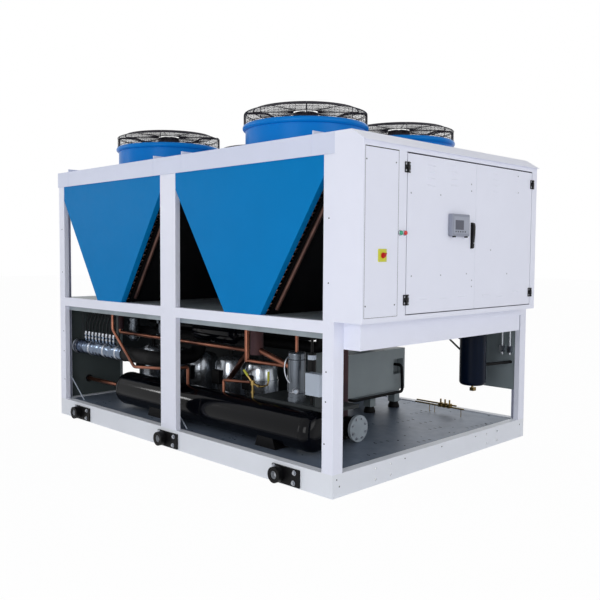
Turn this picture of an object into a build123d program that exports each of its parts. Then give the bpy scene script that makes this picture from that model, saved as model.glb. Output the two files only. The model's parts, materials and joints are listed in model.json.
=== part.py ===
from build123d import *
import math
import os

# Air-cooled compressor rack: a steel frame with the refrigeration plant below, two V-shaped
# condenser coils with four top fans above, and an electrical cabinet on the +X end.
# Millimetres, +Z up, X along the long side, the front faces -Y, origin on the ground at the centre.

# Frame
FRAME_LENGTH = 3210.0
FRAME_WIDTH = 2240.0
SHEET = 3.0
DECK_TOP = 2105.0
POST_WIDTH = 86.0
POST_DEPTH = 40.0
MIDDLE_POST_WIDTH = 184.0
BASE_HEIGHT = 140.0
BASE_FLANGE = 60.0
BASE_SHEET = 5.0
CROSS_MEMBER_WIDTH = 80.0
MID_RAIL_TOP = 1030.0
MID_RAIL_HEIGHT = 72.0
MID_DECK_SKIRT = 110.0
FLOOR_SHEET = 3.0
FLOOR_EDGE_INSET = 15.0

# Transport holes in the end rails
HOLE_RADIUS = 7.0
HOLE_PITCH_Y = 152.0
HOLE_PITCH_Z = 68.0
HOLE_GROUP_Y = 645.0

# Lifting lugs
LUG_LENGTH = 236.0
LUG_HEIGHT = 108.0
LUG_PLATE = 12.0
LUG_EYE_RADIUS = 50.0
LUG_EYE_BORE = 26.0
LUG_EYE_REACH = 48.0
LUG_EYE_INSET = 62.0
LUG_SPREAD = 1228.0
LUG_BOTTOM = 8.0

# Top deck
FASCIA_HEIGHT = 123.0
FASCIA_GAP = 3.0
SEAM_HEIGHT = 22.0
SEAM_WIDTH = 6.0
FAN_PLATE_WIDTH = 1260.0
GROOVE_WIDTH = 3.0
GROOVE_DEPTH = 1.5

# Fans
BAY_OFFSET = 800.0
FAN_OFFSET_Y = 530.0
RING_BORE = 412.0
RING_WALL = 3.0
RING_HEIGHT = 190.0
BEAD_HEIGHT = 40.0
BEAD_REACH = 20.0
BEAD_FLAT = 5.0
ROTOR_RADIUS = 388.0
SHAFT_RADIUS = 14.0
SHAFT_LENGTH = 80.0
RUNNING_GAP = 0.1
HUB_RADIUS = 112.0
HUB_HEIGHT = 120.0
BLADE_COUNT = 7
BLADE_CHORD = 190.0
BLADE_PITCH = 26.0
BLADE_THICKNESS = 5.0
ROTOR_CLEARANCE = 5.0
GRILLE_RADIUS = 423.0
GRILLE_TOP_RADIUS = 362.0
GRILLE_SHOULDER = 76.0
GRILLE_HEIGHT = 103.0
GRILLE_WIRE = 6.0
GRILLE_SPOKES = 12
GRILLE_MIDDLE_RADIUS = 230.0
MOTOR_RADIUS = 92.0
MOTOR_HEIGHT = 86.0

# Condenser coils
COIL_FOOT = 175.0
COIL_HEIGHT = 836.0
COIL_THICKNESS = 77.0
V_PANEL_DEPTH = 45.0
V_PANEL_SETBACK = 2.0
RETURN_BEND_SPACE = 35.0
MANIFOLD_RADIUS = 14.0
MANIFOLD_INSET = 30.0
MANIFOLD_GAP = 0.3

# Electrical cabinet
CABINET_DEPTH = 211.0
CABINET_BACK_END = 830.0
CABINET_SHEET = 4.0
CABINET_RIDGE = 122.0
EAVE_HEIGHT = 2045.0
EAVE_OVERHANG = 12.0
PANEL_BOTTOM = 1060.0
PANEL_TOP = 2010.0
PANEL_MARGIN = 14.0
PANEL_WIDTH = 300.0
MULLION_WIDTH = 78.0
DOOR_OPENING = 1495.0
DOOR_GAP = 6.0
DOOR_THICKNESS = 18.0
DOOR_SHEET = 2.0
PANEL_GAP = 2.0
HINGE_HEIGHT = 64.0
HINGE_INSET = 90.0
HINGE_BARREL = 7.0
HINGE_LEAF = 22.0
HINGE_PLATE = 5.0
HINGE_STEP = 0.6
APRON_DEPTH = 124.0
APRON_HEIGHT = 164.0
APRON_END = 785.0
CONTROLLER_SIZE = (34.0, 245.0, 138.0)
CONTROLLER_PLACE = (-180.0, 1601.0)
HANDLE_PLATE = (5.0, 46.0, 168.0)
HANDLE_PLATE_TOP = 1624.0
HANDLE_EDGE = 40.0
LEVER_WIDTH = 26.0
LEVER_DEPTH = 16.0
LEVER_LENGTH = 150.0
LEVER_GAP = 5.0
LEVER_PIN = 3.0
LEVER_CHEEK = 6.0
LEVER_SIDE_GAP = 1.0
SWITCH_PLACE = (-957.0, 1410.0)
SWITCH_PLATE = 72.0
SWITCH_PLATE_DEPTH = 5.0
KNOB_RADIUS = 21.0
KNOB_DEPTH = 26.0
KNOB_GAP = 0.5
LAMP_Z = 1540.0
LAMP_PITCH = 42.0
LAMP_RADIUS = 13.0
LAMP_REACH = 16.0

# Plant in the lower compartment
END_PANEL_REACH = 624.0
OUTLET_HOLE_GAP = 12.0
RECEIVER_RADIUS = 135.0
RECEIVER_START = -1065.0
RECEIVER_END = 1150.0
RECEIVER_Y = -850.0
RECEIVER_Z = 285.0
RECEIVER_DOME = 68.0
SADDLE_PLACES = (-400.0, 860.0)
SADDLE_LENGTH = 130.0
SADDLE_WIDTH = 220.0
SADDLE_HEIGHT = 90.0
OUTLET_PIPE_RADIUS = 18.0
HEADER_RADIUS = 63.0
HEADER_Y = -985.0
HEADER_Z = 600.0
HEADER_START = -1540.0
HEADER_END = -770.0
HEADER_STUBS = 9
STUB_PITCH = 56.0
STUB_FIRST = -1400.0
STUB_RADIUS = 11.0
STUB_HEIGHT = 67.0
DISTRIBUTOR_RADIUS = 4.5
HANGER_WIDTH = 30.0
HANGER_SHEET = 4.0
SUCTION_PIPE_RADIUS = 58.0
MANIFOLD_PIPE_RADIUS = 40.0
MANIFOLD_PIPE_Y = -600.0
MANIFOLD_PIPE_Z = 745.0
BRANCH_RADIUS = 17.0
COMPRESSOR_RADIUS = 130.0
COMPRESSOR_HEIGHT = 410.0
COMPRESSOR_DOME = 40.0
COMPRESSOR_Y = -420.0
COMPRESSOR_MIDDLE = -480.0
COMPRESSOR_PITCH = 360.0
COMPRESSOR_COUNT = 5
COMPRESSOR_RAIL_HEIGHT = 55.0
COMPRESSOR_RAIL_WIDTH = 40.0
FRONT_PIPE_RADIUS = 10.0
FRONT_PIPE_Y = -1064.0
LIQUID_PIPE_RADIUS = 11.0
LIQUID_PIPE_Z = 735.0
PLANT_PIPE_Y = -800.0
RISER_RADIUS = 33.0
RISER_X = -1150.0
RISER_END = 765.0
DROP_PIPE_RADIUS = 14.0
DROP_PIPE_X = 500.0
DIAGONAL_RADIUS = 18.0
WIDE_RISER_RADIUS = 46.0
WIDE_RISER_X = 604.0
WIDE_RISER_END = 715.0
SHELF_CLEARANCE = 10.0
SHELF_SHEET = 10.0
SHELF_SPAN = (640.0, 1330.0)
SHELF_DEPTH = (-855.0, -560.0)
SHELF_LEG = 40.0
SEPARATOR_PLACE = (975.0, -780.0)
SEPARATOR_RADIUS = 59.0
SEPARATOR_HEIGHT = 300.0
SEPARATOR_BASE = 30.0
TERMINAL_BOX_SIZE = (122.0, 60.0, 140.0)
TERMINAL_BOX_PLACE = (1237.0, -905.0, 525.0)
FILTER_PLACE = (1134.0, -800.0)
FILTER_RADIUS = 27.0
FILTER_SPAN = (645.0, 777.0)
ENCLOSURE_START = (150.0, 65.0, 300.0)
ENCLOSURE_SIZE = (550.0, 725.0, 340.0)
RECESS_START = (571.0, 130.0)
RECESS_SIZE = (60.0, 130.0, 125.0)
PAD_HEIGHT = 40.0
HOSE_RADIUS = 12.0
FLANGE_PLACE = (1200.0, -398.0, 230.0)
FLANGE_RADIUS = 92.0
FLANGE_THICKNESS = 22.0
FLANGE_BODY_RADIUS = 70.0
FLANGE_BODY_LENGTH = 290.0
FLANGE_RISER_RADIUS = 34.0
TANK_PLACE = (1400.0, 700.0)
TANK_RADIUS = 99.0
TANK_BOTTOM = 430.0
TANK_TOP = 930.0
TANK_DOME = 28.0
VALVE_PANEL_SPAN = (1290.0, 1560.0)
VALVE_PANEL_Y = 1040.0
VALVE_PANEL_BOTTOM = 370.0
VALVE_ROW_Y = 812.0
VALVE_ROW_SPAN = (800.0, 1260.0)
VALVE_ROW_Z = 198.0
VALVE_PLACES = (1040.0, 1081.0, 1122.0)
STAY_RADIUS = 5.0


def block(x0, x1, y0, y1, z0, z1):
    """A box between two corners."""
    size = Box(abs(x1 - x0), abs(y1 - y0), abs(z1 - z0))
    return Pos((x0 + x1) / 2, (y0 + y1) / 2, (z0 + z1) / 2) * size


def rod(start, end, radius):
    """A round bar between two points."""
    start, end = Vector(*start), Vector(*end)
    plane = Plane(origin=start, z_dir=end - start)
    return plane * Cylinder(radius, (end - start).length, align=(Align.CENTER, Align.CENTER, Align.MIN))


def pipe(points, radius, bend):
    """A bent pipe of one radius along straight runs with rounded corners."""
    path = FilletPolyline(*[Vector(*p) for p in points], radius=bend)
    section = Plane(origin=path @ 0, z_dir=path % 0) * Circle(radius)
    return sweep(section, path=path)


def prism(points, y0, y1):
    """An outline in the XZ plane, drawn out from y0 to y1."""
    face = Plane(origin=(0, y0, 0), x_dir=(1, 0, 0), z_dir=(0, 1, 0)) * make_face(
        Polyline(*[(x, -z) for x, z in points], close=True)
    )
    return extrude(face, amount=y1 - y0)


def joined(pieces):
    """One shape from many pieces, fused where they meet."""
    pieces = list(pieces)
    return pieces[0].fuse(*pieces[1:]) if len(pieces) > 1 else pieces[0]


def save(name, *shapes):
    """Writes the solids of one node."""
    solids = [s for shape in shapes for s in shape.solids()]
    export_step(solids[0] if len(solids) == 1 else Compound(children=solids), f"parts/{name}.step")


X1 = FRAME_LENGTH / 2
Y1 = FRAME_WIDTH / 2
DECK_UNDER = DECK_TOP - SHEET
FLOOR_TOP = BASE_HEIGHT - BASE_SHEET
CABINET_FRONT = X1 + CABINET_DEPTH
CABINET_NEAR = -Y1 - FASCIA_GAP - SHEET
MIRROR_SIDES = (-1, 1)
COIL_REACH = (X1 - POST_WIDTH - MIDDLE_POST_WIDTH / 2) / 2
V_OFFSET = (X1 - POST_WIDTH + MIDDLE_POST_WIDTH / 2) / 2
COIL_END = Y1 - V_PANEL_SETBACK - V_PANEL_DEPTH - RETURN_BEND_SPACE


def base_frame():
    """Channel rails welded into a ring with a cross member, and transport holes in both ends."""
    ring = block(-X1, X1, -Y1, Y1, 0, BASE_HEIGHT)
    ring -= block(-X1 + BASE_FLANGE, X1 - BASE_FLANGE, -Y1 + BASE_FLANGE, Y1 - BASE_FLANGE, 0, BASE_HEIGHT)
    ring -= block(
        -X1 + BASE_SHEET, X1 - BASE_SHEET, -Y1 + BASE_SHEET, Y1 - BASE_SHEET, BASE_SHEET, BASE_HEIGHT - BASE_SHEET
    )
    half, under = CROSS_MEMBER_WIDTH / 2, FLOOR_TOP - FLOOR_SHEET
    reach = Y1 - BASE_SHEET
    member = block(-half, half, -reach, reach, 0, under)
    ring += member - block(-half + BASE_SHEET, half, -reach, reach, BASE_SHEET, under - BASE_SHEET)
    for side in MIRROR_SIDES:
        for group in MIRROR_SIDES:
            for dy in MIRROR_SIDES:
                for dz in MIRROR_SIDES:
                    y = group * HOLE_GROUP_Y + dy * HOLE_PITCH_Y / 2
                    z = BASE_HEIGHT / 2 + dz * HOLE_PITCH_Z / 2
                    ring -= rod((side * (X1 - 2 * BASE_SHEET), y, z), (side * (X1 + BASE_SHEET), y, z), HOLE_RADIUS)
    return ring


def floor_plate():
    """The galvanised floor, seated under the flanges of the rails."""
    x, y = X1 - FLOOR_EDGE_INSET, Y1 - FLOOR_EDGE_INSET
    return block(-x, x, -y, y, FLOOR_TOP - FLOOR_SHEET, FLOOR_TOP)


def corner_post(sx, sy):
    """A folded angle post with a return on each leg, open to the inside."""
    def leg_block(x0, x1, y0, y1):
        return block(sx * (X1 - x0), sx * (X1 - x1), sy * (Y1 - y0), sy * (Y1 - y1), BASE_HEIGHT, DECK_UNDER)

    outside = leg_block(0, POST_WIDTH, 0, POST_DEPTH) + leg_block(0, POST_DEPTH, 0, POST_WIDTH)
    inside = leg_block(SHEET, POST_WIDTH - SHEET, SHEET, POST_DEPTH)
    inside += leg_block(SHEET, POST_DEPTH, SHEET, POST_WIDTH - SHEET)
    return outside - inside


def middle_post(sy):
    """The wide folded post between the two bays."""
    half = MIDDLE_POST_WIDTH / 2
    outside = block(-half, half, sy * Y1, sy * (Y1 - POST_DEPTH), BASE_HEIGHT, DECK_UNDER)
    inside = block(
        -half + SHEET, half - SHEET, sy * (Y1 - SHEET), sy * (Y1 - POST_DEPTH), BASE_HEIGHT, DECK_UNDER
    )
    return outside - inside


def mid_rails():
    """Channel rails between the posts, open to the inside."""
    low, high = MID_RAIL_TOP - MID_RAIL_HEIGHT, MID_RAIL_TOP
    rails = []
    for side in MIRROR_SIDES:
        for bay in MIRROR_SIDES:
            x0, x1 = bay * MIDDLE_POST_WIDTH / 2, bay * (X1 - POST_WIDTH)
            rail = block(x0, x1, side * Y1, side * (Y1 - POST_DEPTH), low, high)
            rail -= block(x0, x1, side * (Y1 - SHEET), side * (Y1 - POST_DEPTH), low + SHEET, high - SHEET)
            rails.append(rail)
        y = Y1 - POST_WIDTH
        rail = block(side * X1, side * (X1 - POST_DEPTH), -y, y, low, high)
        rail -= block(side * (X1 - SHEET), side * (X1 - POST_DEPTH), -y, y, low + SHEET, high - SHEET)
        rails.append(rail)
    return rails


def mid_deck():
    """The tray between the rails that carries the coils."""
    x, y = X1 - POST_DEPTH, Y1 - POST_DEPTH
    tray = block(-x, x, -y, y, MID_RAIL_TOP - MID_DECK_SKIRT, MID_RAIL_TOP)
    return tray - block(
        -x + SHEET, x - SHEET, -y + SHEET, y - SHEET, MID_RAIL_TOP - MID_DECK_SKIRT, MID_RAIL_TOP - SHEET
    )


def fan_places():
    """The four fan centres, by name."""
    return {
        f"{row}_{column}": (sx * BAY_OFFSET, sy * FAN_OFFSET_Y)
        for row, sy in (("front", -1), ("back", 1))
        for column, sx in (("left", -1), ("right", 1))
    }


def fan_deck():
    """The top plate with its fascia, standing seams and four fan openings."""
    x, y = X1 + FASCIA_GAP + SHEET, Y1 + FASCIA_GAP + SHEET
    low = DECK_TOP - FASCIA_HEIGHT
    deck = block(-x, x, -y, y, low, DECK_TOP)
    deck -= block(-x + SHEET, x - SHEET, -y + SHEET, y - SHEET, low, DECK_UNDER)
    # The cabinet closes most of the right end, so the fascia stops behind it.
    deck -= block(X1, x, -y, CABINET_BACK_END + EAVE_OVERHANG, low, DECK_UNDER)
    half_plate = FAN_PLATE_WIDTH / 2
    for bay in MIRROR_SIDES:
        for edge in MIRROR_SIDES:
            seam = bay * BAY_OFFSET + edge * half_plate
            deck += block(seam, seam + SEAM_WIDTH, -y, y, DECK_TOP - SHEET / 2, DECK_TOP + SEAM_HEIGHT)
            for side in MIRROR_SIDES:
                face = side * y
                deck -= block(
                    seam - GROOVE_WIDTH, seam, face, face - side * GROOVE_DEPTH, low, DECK_TOP
                )
    for fan_x, fan_y in fan_places().values():
        deck -= Pos(fan_x, fan_y, DECK_TOP) * Cylinder(RING_BORE, SHEET * 4)
    return deck


def fan_ring(fan_x, fan_y):
    """The inlet cylinder of a fan with a rolled bead at its mouth."""
    top = DECK_TOP + RING_HEIGHT
    outer = RING_BORE + RING_WALL
    mouth = outer + BEAD_FLAT
    nose = (outer + BEAD_REACH, top - BEAD_HEIGHT / 2)
    bead = ThreePointArc((outer, top - BEAD_HEIGHT), nose, (mouth, top))
    outline = Polyline((mouth, top), (RING_BORE, top), (RING_BORE, DECK_TOP), (outer, DECK_TOP), (outer, top - BEAD_HEIGHT))
    face = Plane.XZ * make_face([outline, bead])
    return Pos(fan_x, fan_y, 0) * revolve(face, Axis.Z)


def fan_grille(fan_x, fan_y):
    """The wire guard with the motor held in its middle."""
    base = DECK_TOP + RING_HEIGHT
    shoulder, top = base + GRILLE_SHOULDER, base + GRILLE_HEIGHT
    wire, half = GRILLE_WIRE, GRILLE_WIRE / 2

    def hoop(radius, z, width=wire):
        return Pos(0, 0, z) * (
            Cylinder(radius + width / 2, wire) - Cylinder(radius - width / 2, wire)
        )

    pieces = [
        hoop(GRILLE_RADIUS - half, base + half, 2 * wire),
        hoop(GRILLE_RADIUS, shoulder),
        hoop(GRILLE_TOP_RADIUS, top - half),
        hoop(GRILLE_MIDDLE_RADIUS, top - half),
        Pos(0, 0, top - MOTOR_HEIGHT / 2) * Cylinder(MOTOR_RADIUS, MOTOR_HEIGHT),
        Pos(0, 0, top - MOTOR_HEIGHT - SHAFT_LENGTH / 2) * Cylinder(SHAFT_RADIUS, SHAFT_LENGTH),
    ]
    spoke_line = [
        (MOTOR_RADIUS - wire, top),
        (GRILLE_TOP_RADIUS, top),
        (GRILLE_RADIUS + half, shoulder),
        (GRILLE_RADIUS + half, base),
        (GRILLE_RADIUS - half, base),
        (GRILLE_RADIUS - half, shoulder - half),
        (GRILLE_TOP_RADIUS - half, top - wire),
        (MOTOR_RADIUS - wire, top - wire),
    ]
    spoke = prism(spoke_line, -half, half)
    for index in range(GRILLE_SPOKES):
        pieces.append(Rot(0, 0, index * 360 / GRILLE_SPOKES) * spoke)
    return Pos(fan_x, fan_y, 0) * joined(pieces)


def fan_rotor(fan_x, fan_y):
    """The hub with its twisted blades."""
    top = DECK_TOP + RING_HEIGHT - ROTOR_CLEARANCE
    middle = top - HUB_HEIGHT / 2
    hub = Pos(0, 0, middle) * Cylinder(HUB_RADIUS, HUB_HEIGHT)
    reach = Pos(0, 0, middle) * (Cylinder(ROTOR_RADIUS, 2 * HUB_HEIGHT) - Cylinder(HUB_RADIUS - 5, 2 * HUB_HEIGHT))
    plate = Box(ROTOR_RADIUS, BLADE_CHORD, BLADE_THICKNESS, align=(Align.MIN, Align.CENTER, Align.CENTER))
    blade = (Pos(0, 0, middle) * Rot(BLADE_PITCH, 0, 0) * plate) & reach
    blades = [Rot(0, 0, index * 360 / BLADE_COUNT) * blade for index in range(BLADE_COUNT)]
    rotor = joined([hub] + blades)
    shaft_end = DECK_TOP + RING_HEIGHT + GRILLE_HEIGHT - MOTOR_HEIGHT - SHAFT_LENGTH
    bore_end = shaft_end - 10 * RUNNING_GAP
    rotor -= Pos(0, 0, (top + bore_end) / 2) * Cylinder(SHAFT_RADIUS + RUNNING_GAP, top - bore_end)
    return Pos(fan_x, fan_y, 0) * rotor


def v_outline(inset=0.0):
    """The outline of a V end panel about its own centre line, drawn in by an inset."""
    reach, foot = COIL_REACH - inset, COIL_FOOT - inset
    low, knee = MID_RAIL_TOP, MID_RAIL_TOP + COIL_HEIGHT
    return [(-foot, low), (foot, low), (reach, knee), (reach, DECK_UNDER), (-reach, DECK_UNDER), (-reach, knee)]


def v_panel(bay, side):
    """A blue end panel with its edges folded back along the coils."""
    face = side * (Y1 - V_PANEL_SETBACK)
    back = face - side * V_PANEL_DEPTH
    panel = prism(v_outline(), min(face, back), max(face, back))
    skin = face - side * SHEET
    panel -= prism(v_outline(SHEET), min(skin, back), max(skin, back))
    return Pos(bay * V_OFFSET, 0, 0) * panel


def coil(bay, leg):
    """One finned slab of a V."""
    low, knee = MID_RAIL_TOP, MID_RAIL_TOP + COIL_HEIGHT
    outline = [
        (leg * COIL_FOOT, low),
        (leg * COIL_REACH, knee),
        (leg * (COIL_REACH - COIL_THICKNESS), knee),
        (leg * (COIL_FOOT - COIL_THICKNESS), low),
    ]
    return Pos(bay * V_OFFSET, 0, 0) * prism(outline, -COIL_END, COIL_END)


def coil_manifold(bay, leg):
    """The copper header that runs up the outer face of a coil near its front end."""
    run, rise = COIL_REACH - COIL_FOOT, COIL_HEIGHT
    length = math.hypot(run, rise)
    reach = (MANIFOLD_RADIUS + MANIFOLD_GAP) / length
    offset = Vector(leg * rise * reach, 0, -run * reach)
    y = -COIL_END + MANIFOLD_INSET
    along = Vector(leg * run, 0, rise)
    foot = Vector(bay * V_OFFSET + leg * COIL_FOOT, y, MID_RAIL_TOP) + offset
    start, end = foot + along * 0.05, foot + along * 0.93
    return rod(tuple(start), tuple(end), MANIFOLD_RADIUS)


def coil_cheek(bay, leg):
    """The plate that closes the gap between the top of a coil and the deck."""
    y = Y1 - V_PANEL_SETBACK - V_PANEL_DEPTH
    x = bay * V_OFFSET + leg * COIL_REACH
    return block(x - leg * SHEET, x, -y, y, MID_RAIL_TOP + COIL_HEIGHT, DECK_UNDER)


DOOR_START = CABINET_NEAR + PANEL_MARGIN + PANEL_WIDTH + MULLION_WIDTH
DOOR_END = DOOR_START + DOOR_OPENING
DOOR_MIDDLE = (DOOR_START + DOOR_END) / 2


def cabinet_outline(inset=0.0):
    """The side outline of the cabinet, with the sloping roof."""
    low, front, back = MID_RAIL_TOP + inset, CABINET_FRONT - inset, X1 + inset
    slope = inset * 1.2
    return [
        (back, low),
        (front, low),
        (front, EAVE_HEIGHT - slope),
        (X1 + CABINET_RIDGE, DECK_UNDER - slope),
        (back, DECK_UNDER - slope),
    ]


def cabinet_shell():
    """The hollow cabinet with an opening for the screwed panel and one for the doors."""
    shell = prism(cabinet_outline(), CABINET_NEAR, CABINET_BACK_END)
    shell -= prism(cabinet_outline(CABINET_SHEET), CABINET_NEAR + CABINET_SHEET, CABINET_BACK_END - CABINET_SHEET)
    panel_y = CABINET_NEAR + PANEL_MARGIN
    for y0, y1 in ((panel_y, panel_y + PANEL_WIDTH), (DOOR_START, DOOR_END)):
        shell -= block(CABINET_FRONT - CABINET_SHEET, CABINET_FRONT, y0, y1, PANEL_BOTTOM, PANEL_TOP)
    return shell


def cabinet_roof():
    """The folded roof sheet over the cabinet, with a small eave."""
    ridge, eave = X1 + CABINET_RIDGE, CABINET_FRONT + EAVE_OVERHANG
    drop = (DECK_UNDER - EAVE_HEIGHT) / (CABINET_DEPTH - CABINET_RIDGE) * EAVE_OVERHANG
    start = X1 + FASCIA_GAP + SHEET
    outline = [
        (start, DECK_UNDER),
        (ridge, DECK_UNDER),
        (eave, EAVE_HEIGHT - drop),
        (eave, EAVE_HEIGHT - drop + SHEET),
        (ridge, DECK_TOP),
        (start, DECK_TOP),
    ]
    return prism(outline, CABINET_NEAR, CABINET_BACK_END + EAVE_OVERHANG)


def pan(y0, y1, gap):
    """A sheet pan, skin outwards, that fills an opening of the cabinet front less a gap."""
    low, high = PANEL_BOTTOM + gap, PANEL_TOP - gap
    front, back = CABINET_FRONT, CABINET_FRONT - DOOR_THICKNESS
    leaf = block(back, front, y0, y1, low, high)
    return leaf - block(
        back, front - DOOR_SHEET, y0 + DOOR_SHEET, y1 - DOOR_SHEET, low + DOOR_SHEET, high - DOOR_SHEET
    )


def cabinet_panel():
    """The narrow panel that is screwed into the cabinet."""
    y0 = CABINET_NEAR + PANEL_MARGIN
    skin = block(
        CABINET_FRONT - SHEET, CABINET_FRONT, y0, y0 + PANEL_WIDTH, PANEL_BOTTOM, PANEL_TOP
    )
    return skin


def door(side):
    """One leaf of the double door: side -1 is the near leaf, 1 the far one."""
    if side < 0:
        return pan(DOOR_START + DOOR_GAP, DOOR_MIDDLE - DOOR_GAP / 2, DOOR_GAP)
    return pan(DOOR_MIDDLE + DOOR_GAP / 2, DOOR_END - DOOR_GAP, DOOR_GAP)


HINGE_X = CABINET_FRONT + HINGE_BARREL + 1.0
HINGE_LEVELS = (PANEL_BOTTOM + HINGE_INSET, PANEL_TOP - HINGE_INSET)


def hinge_line(side):
    """The Y of a door's hinge axis, in the middle of its gap."""
    return DOOR_START + DOOR_GAP / 2 if side < 0 else DOOR_END - DOOR_GAP / 2


def hinge_half(side, moving):
    """The barrel halves and plates of one door's hinges: the fixed ones or those on the leaf."""
    axis = hinge_line(side)
    toward_leaf = -side if moving else side
    halves = []
    for level in HINGE_LEVELS:
        low, high = (level + HINGE_STEP / 2, level + HINGE_HEIGHT / 2) if moving else (
            level - HINGE_HEIGHT / 2, level - HINGE_STEP / 2)
        barrel = rod((HINGE_X, axis, low), (HINGE_X, axis, high), HINGE_BARREL)
        start = axis + toward_leaf * (DOOR_GAP / 2 + 0.5)
        plate = block(
            CABINET_FRONT, CABINET_FRONT + HINGE_PLATE, start, start + toward_leaf * HINGE_LEAF, low, high
        )
        arm = block(
            CABINET_FRONT + 1.5, CABINET_FRONT + HINGE_PLATE, axis, start + toward_leaf * 2, low, high
        )
        halves.append(joined([barrel, plate, arm]))
    return halves


def controller():
    """The display housing on the near leaf."""
    depth, width, height = CONTROLLER_SIZE
    y, z = CONTROLLER_PLACE
    case = block(CABINET_FRONT, CABINET_FRONT + depth, y - width / 2, y + width / 2, z - height / 2, z + height / 2)
    case = fillet(case.edges().filter_by(Axis.X), 14)
    return chamfer(case.faces().sort_by(Axis.X)[-1].edges(), 5)


HANDLE_Y = DOOR_MIDDLE - DOOR_GAP / 2 - HANDLE_EDGE
LEVER_BACK = CABINET_FRONT + HANDLE_PLATE[0] + LEVER_GAP
LEVER_PIN_X = LEVER_BACK + LEVER_DEPTH / 2
LEVER_PIN_Z = HANDLE_PLATE_TOP - LEVER_DEPTH


def handle_base():
    """The lock plate with two cheeks and the pin that the lever turns on."""
    depth, width, height = HANDLE_PLATE
    plate = block(
        CABINET_FRONT, CABINET_FRONT + depth, HANDLE_Y - width / 2, HANDLE_Y + width / 2,
        HANDLE_PLATE_TOP - height, HANDLE_PLATE_TOP,
    )
    reach = LEVER_WIDTH / 2 + LEVER_SIDE_GAP
    half = LEVER_DEPTH / 2
    for side in MIRROR_SIDES:
        plate += block(
            CABINET_FRONT, LEVER_BACK + LEVER_DEPTH, HANDLE_Y + side * reach, HANDLE_Y + side * (reach + LEVER_CHEEK),
            LEVER_PIN_Z - half, LEVER_PIN_Z + half,
        )
    reach += LEVER_CHEEK / 2
    pin = rod(
        (LEVER_PIN_X, HANDLE_Y - reach, LEVER_PIN_Z), (LEVER_PIN_X, HANDLE_Y + reach, LEVER_PIN_Z), LEVER_PIN
    )
    return plate + pin


def door_handle():
    """The lever that folds out about its upper end."""
    half = LEVER_WIDTH / 2
    lever = block(
        LEVER_BACK, LEVER_BACK + LEVER_DEPTH, HANDLE_Y - half, HANDLE_Y + half,
        LEVER_PIN_Z + LEVER_DEPTH / 2 - LEVER_LENGTH, LEVER_PIN_Z,
    )
    ends = ((LEVER_PIN_X, HANDLE_Y - half, LEVER_PIN_Z), (LEVER_PIN_X, HANDLE_Y + half, LEVER_PIN_Z))
    return lever + rod(*ends, LEVER_DEPTH / 2) - rod(*ends, LEVER_PIN + RUNNING_GAP)


def switch_plate():
    """The square plate of the main switch."""
    y, z = SWITCH_PLACE
    half = SWITCH_PLATE / 2
    return block(CABINET_FRONT, CABINET_FRONT + SWITCH_PLATE_DEPTH, y - half, y + half, z - half, z + half)


def switch_knob():
    """The turning handle of the main switch."""
    y, z = SWITCH_PLACE
    x0 = CABINET_FRONT + SWITCH_PLATE_DEPTH + KNOB_GAP
    knob = rod((x0, y, z), (x0 + KNOB_DEPTH / 3, y, z), KNOB_RADIUS)
    grip = block(x0, x0 + KNOB_DEPTH, y - KNOB_RADIUS / 3, y + KNOB_RADIUS / 3, z - KNOB_RADIUS, z + KNOB_RADIUS)
    return knob + (grip & rod((x0, y, z), (x0 + KNOB_DEPTH, y, z), KNOB_RADIUS))


def lamps():
    """The two indicator lamps on the mullion."""
    middle = DOOR_START - MULLION_WIDTH / 2
    for side in MIRROR_SIDES:
        y = middle + side * LAMP_PITCH / 2
        lamp = rod((CABINET_FRONT, y, LAMP_Z), (CABINET_FRONT + LAMP_REACH, y, LAMP_Z), LAMP_RADIUS)
        yield fillet(lamp.faces().sort_by(Axis.X)[-1].edges(), 4)


def cabinet_apron():
    """The duct under the cabinet, open towards the frame."""
    y0 = -Y1 + POST_WIDTH
    low, high = MID_RAIL_TOP - APRON_HEIGHT, MID_RAIL_TOP
    duct = block(X1, X1 + APRON_DEPTH, y0, APRON_END, low, high)
    return duct - block(X1, X1 + APRON_DEPTH - SHEET, y0 + SHEET, APRON_END - SHEET, low + SHEET, high - SHEET)


TRAY_UNDER = MID_RAIL_TOP - SHEET
SHELF_TOP = RECEIVER_Z + RECEIVER_RADIUS + SHELF_CLEARANCE + SHELF_SHEET
RAIL_TOP = FLOOR_TOP + COMPRESSOR_RAIL_HEIGHT
COMPRESSOR_TOP = RAIL_TOP + COMPRESSOR_HEIGHT
COMPRESSOR_PLACES = [
    COMPRESSOR_MIDDLE + COMPRESSOR_PITCH * (index - (COMPRESSOR_COUNT - 1) / 2) for index in range(COMPRESSOR_COUNT)
]


def end_panel():
    """The grey panel that closes the front part of the lower left end."""
    x = -X1 + SHEET
    panel = block(
        x, x + SHEET, -Y1 + POST_WIDTH, -Y1 + END_PANEL_REACH, BASE_HEIGHT, MID_RAIL_TOP - MID_RAIL_HEIGHT
    )
    hole = OUTLET_PIPE_RADIUS + OUTLET_HOLE_GAP
    return panel - rod((x - SHEET, RECEIVER_Y, RECEIVER_Z), (x + 2 * SHEET, RECEIVER_Y, RECEIVER_Z), hole)


def receiver():
    """The long liquid receiver with dished ends."""
    shell = rod((RECEIVER_START, RECEIVER_Y, RECEIVER_Z), (RECEIVER_END, RECEIVER_Y, RECEIVER_Z), RECEIVER_RADIUS)
    return fillet(shell.edges().filter_by(GeomType.CIRCLE), RECEIVER_DOME)


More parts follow.
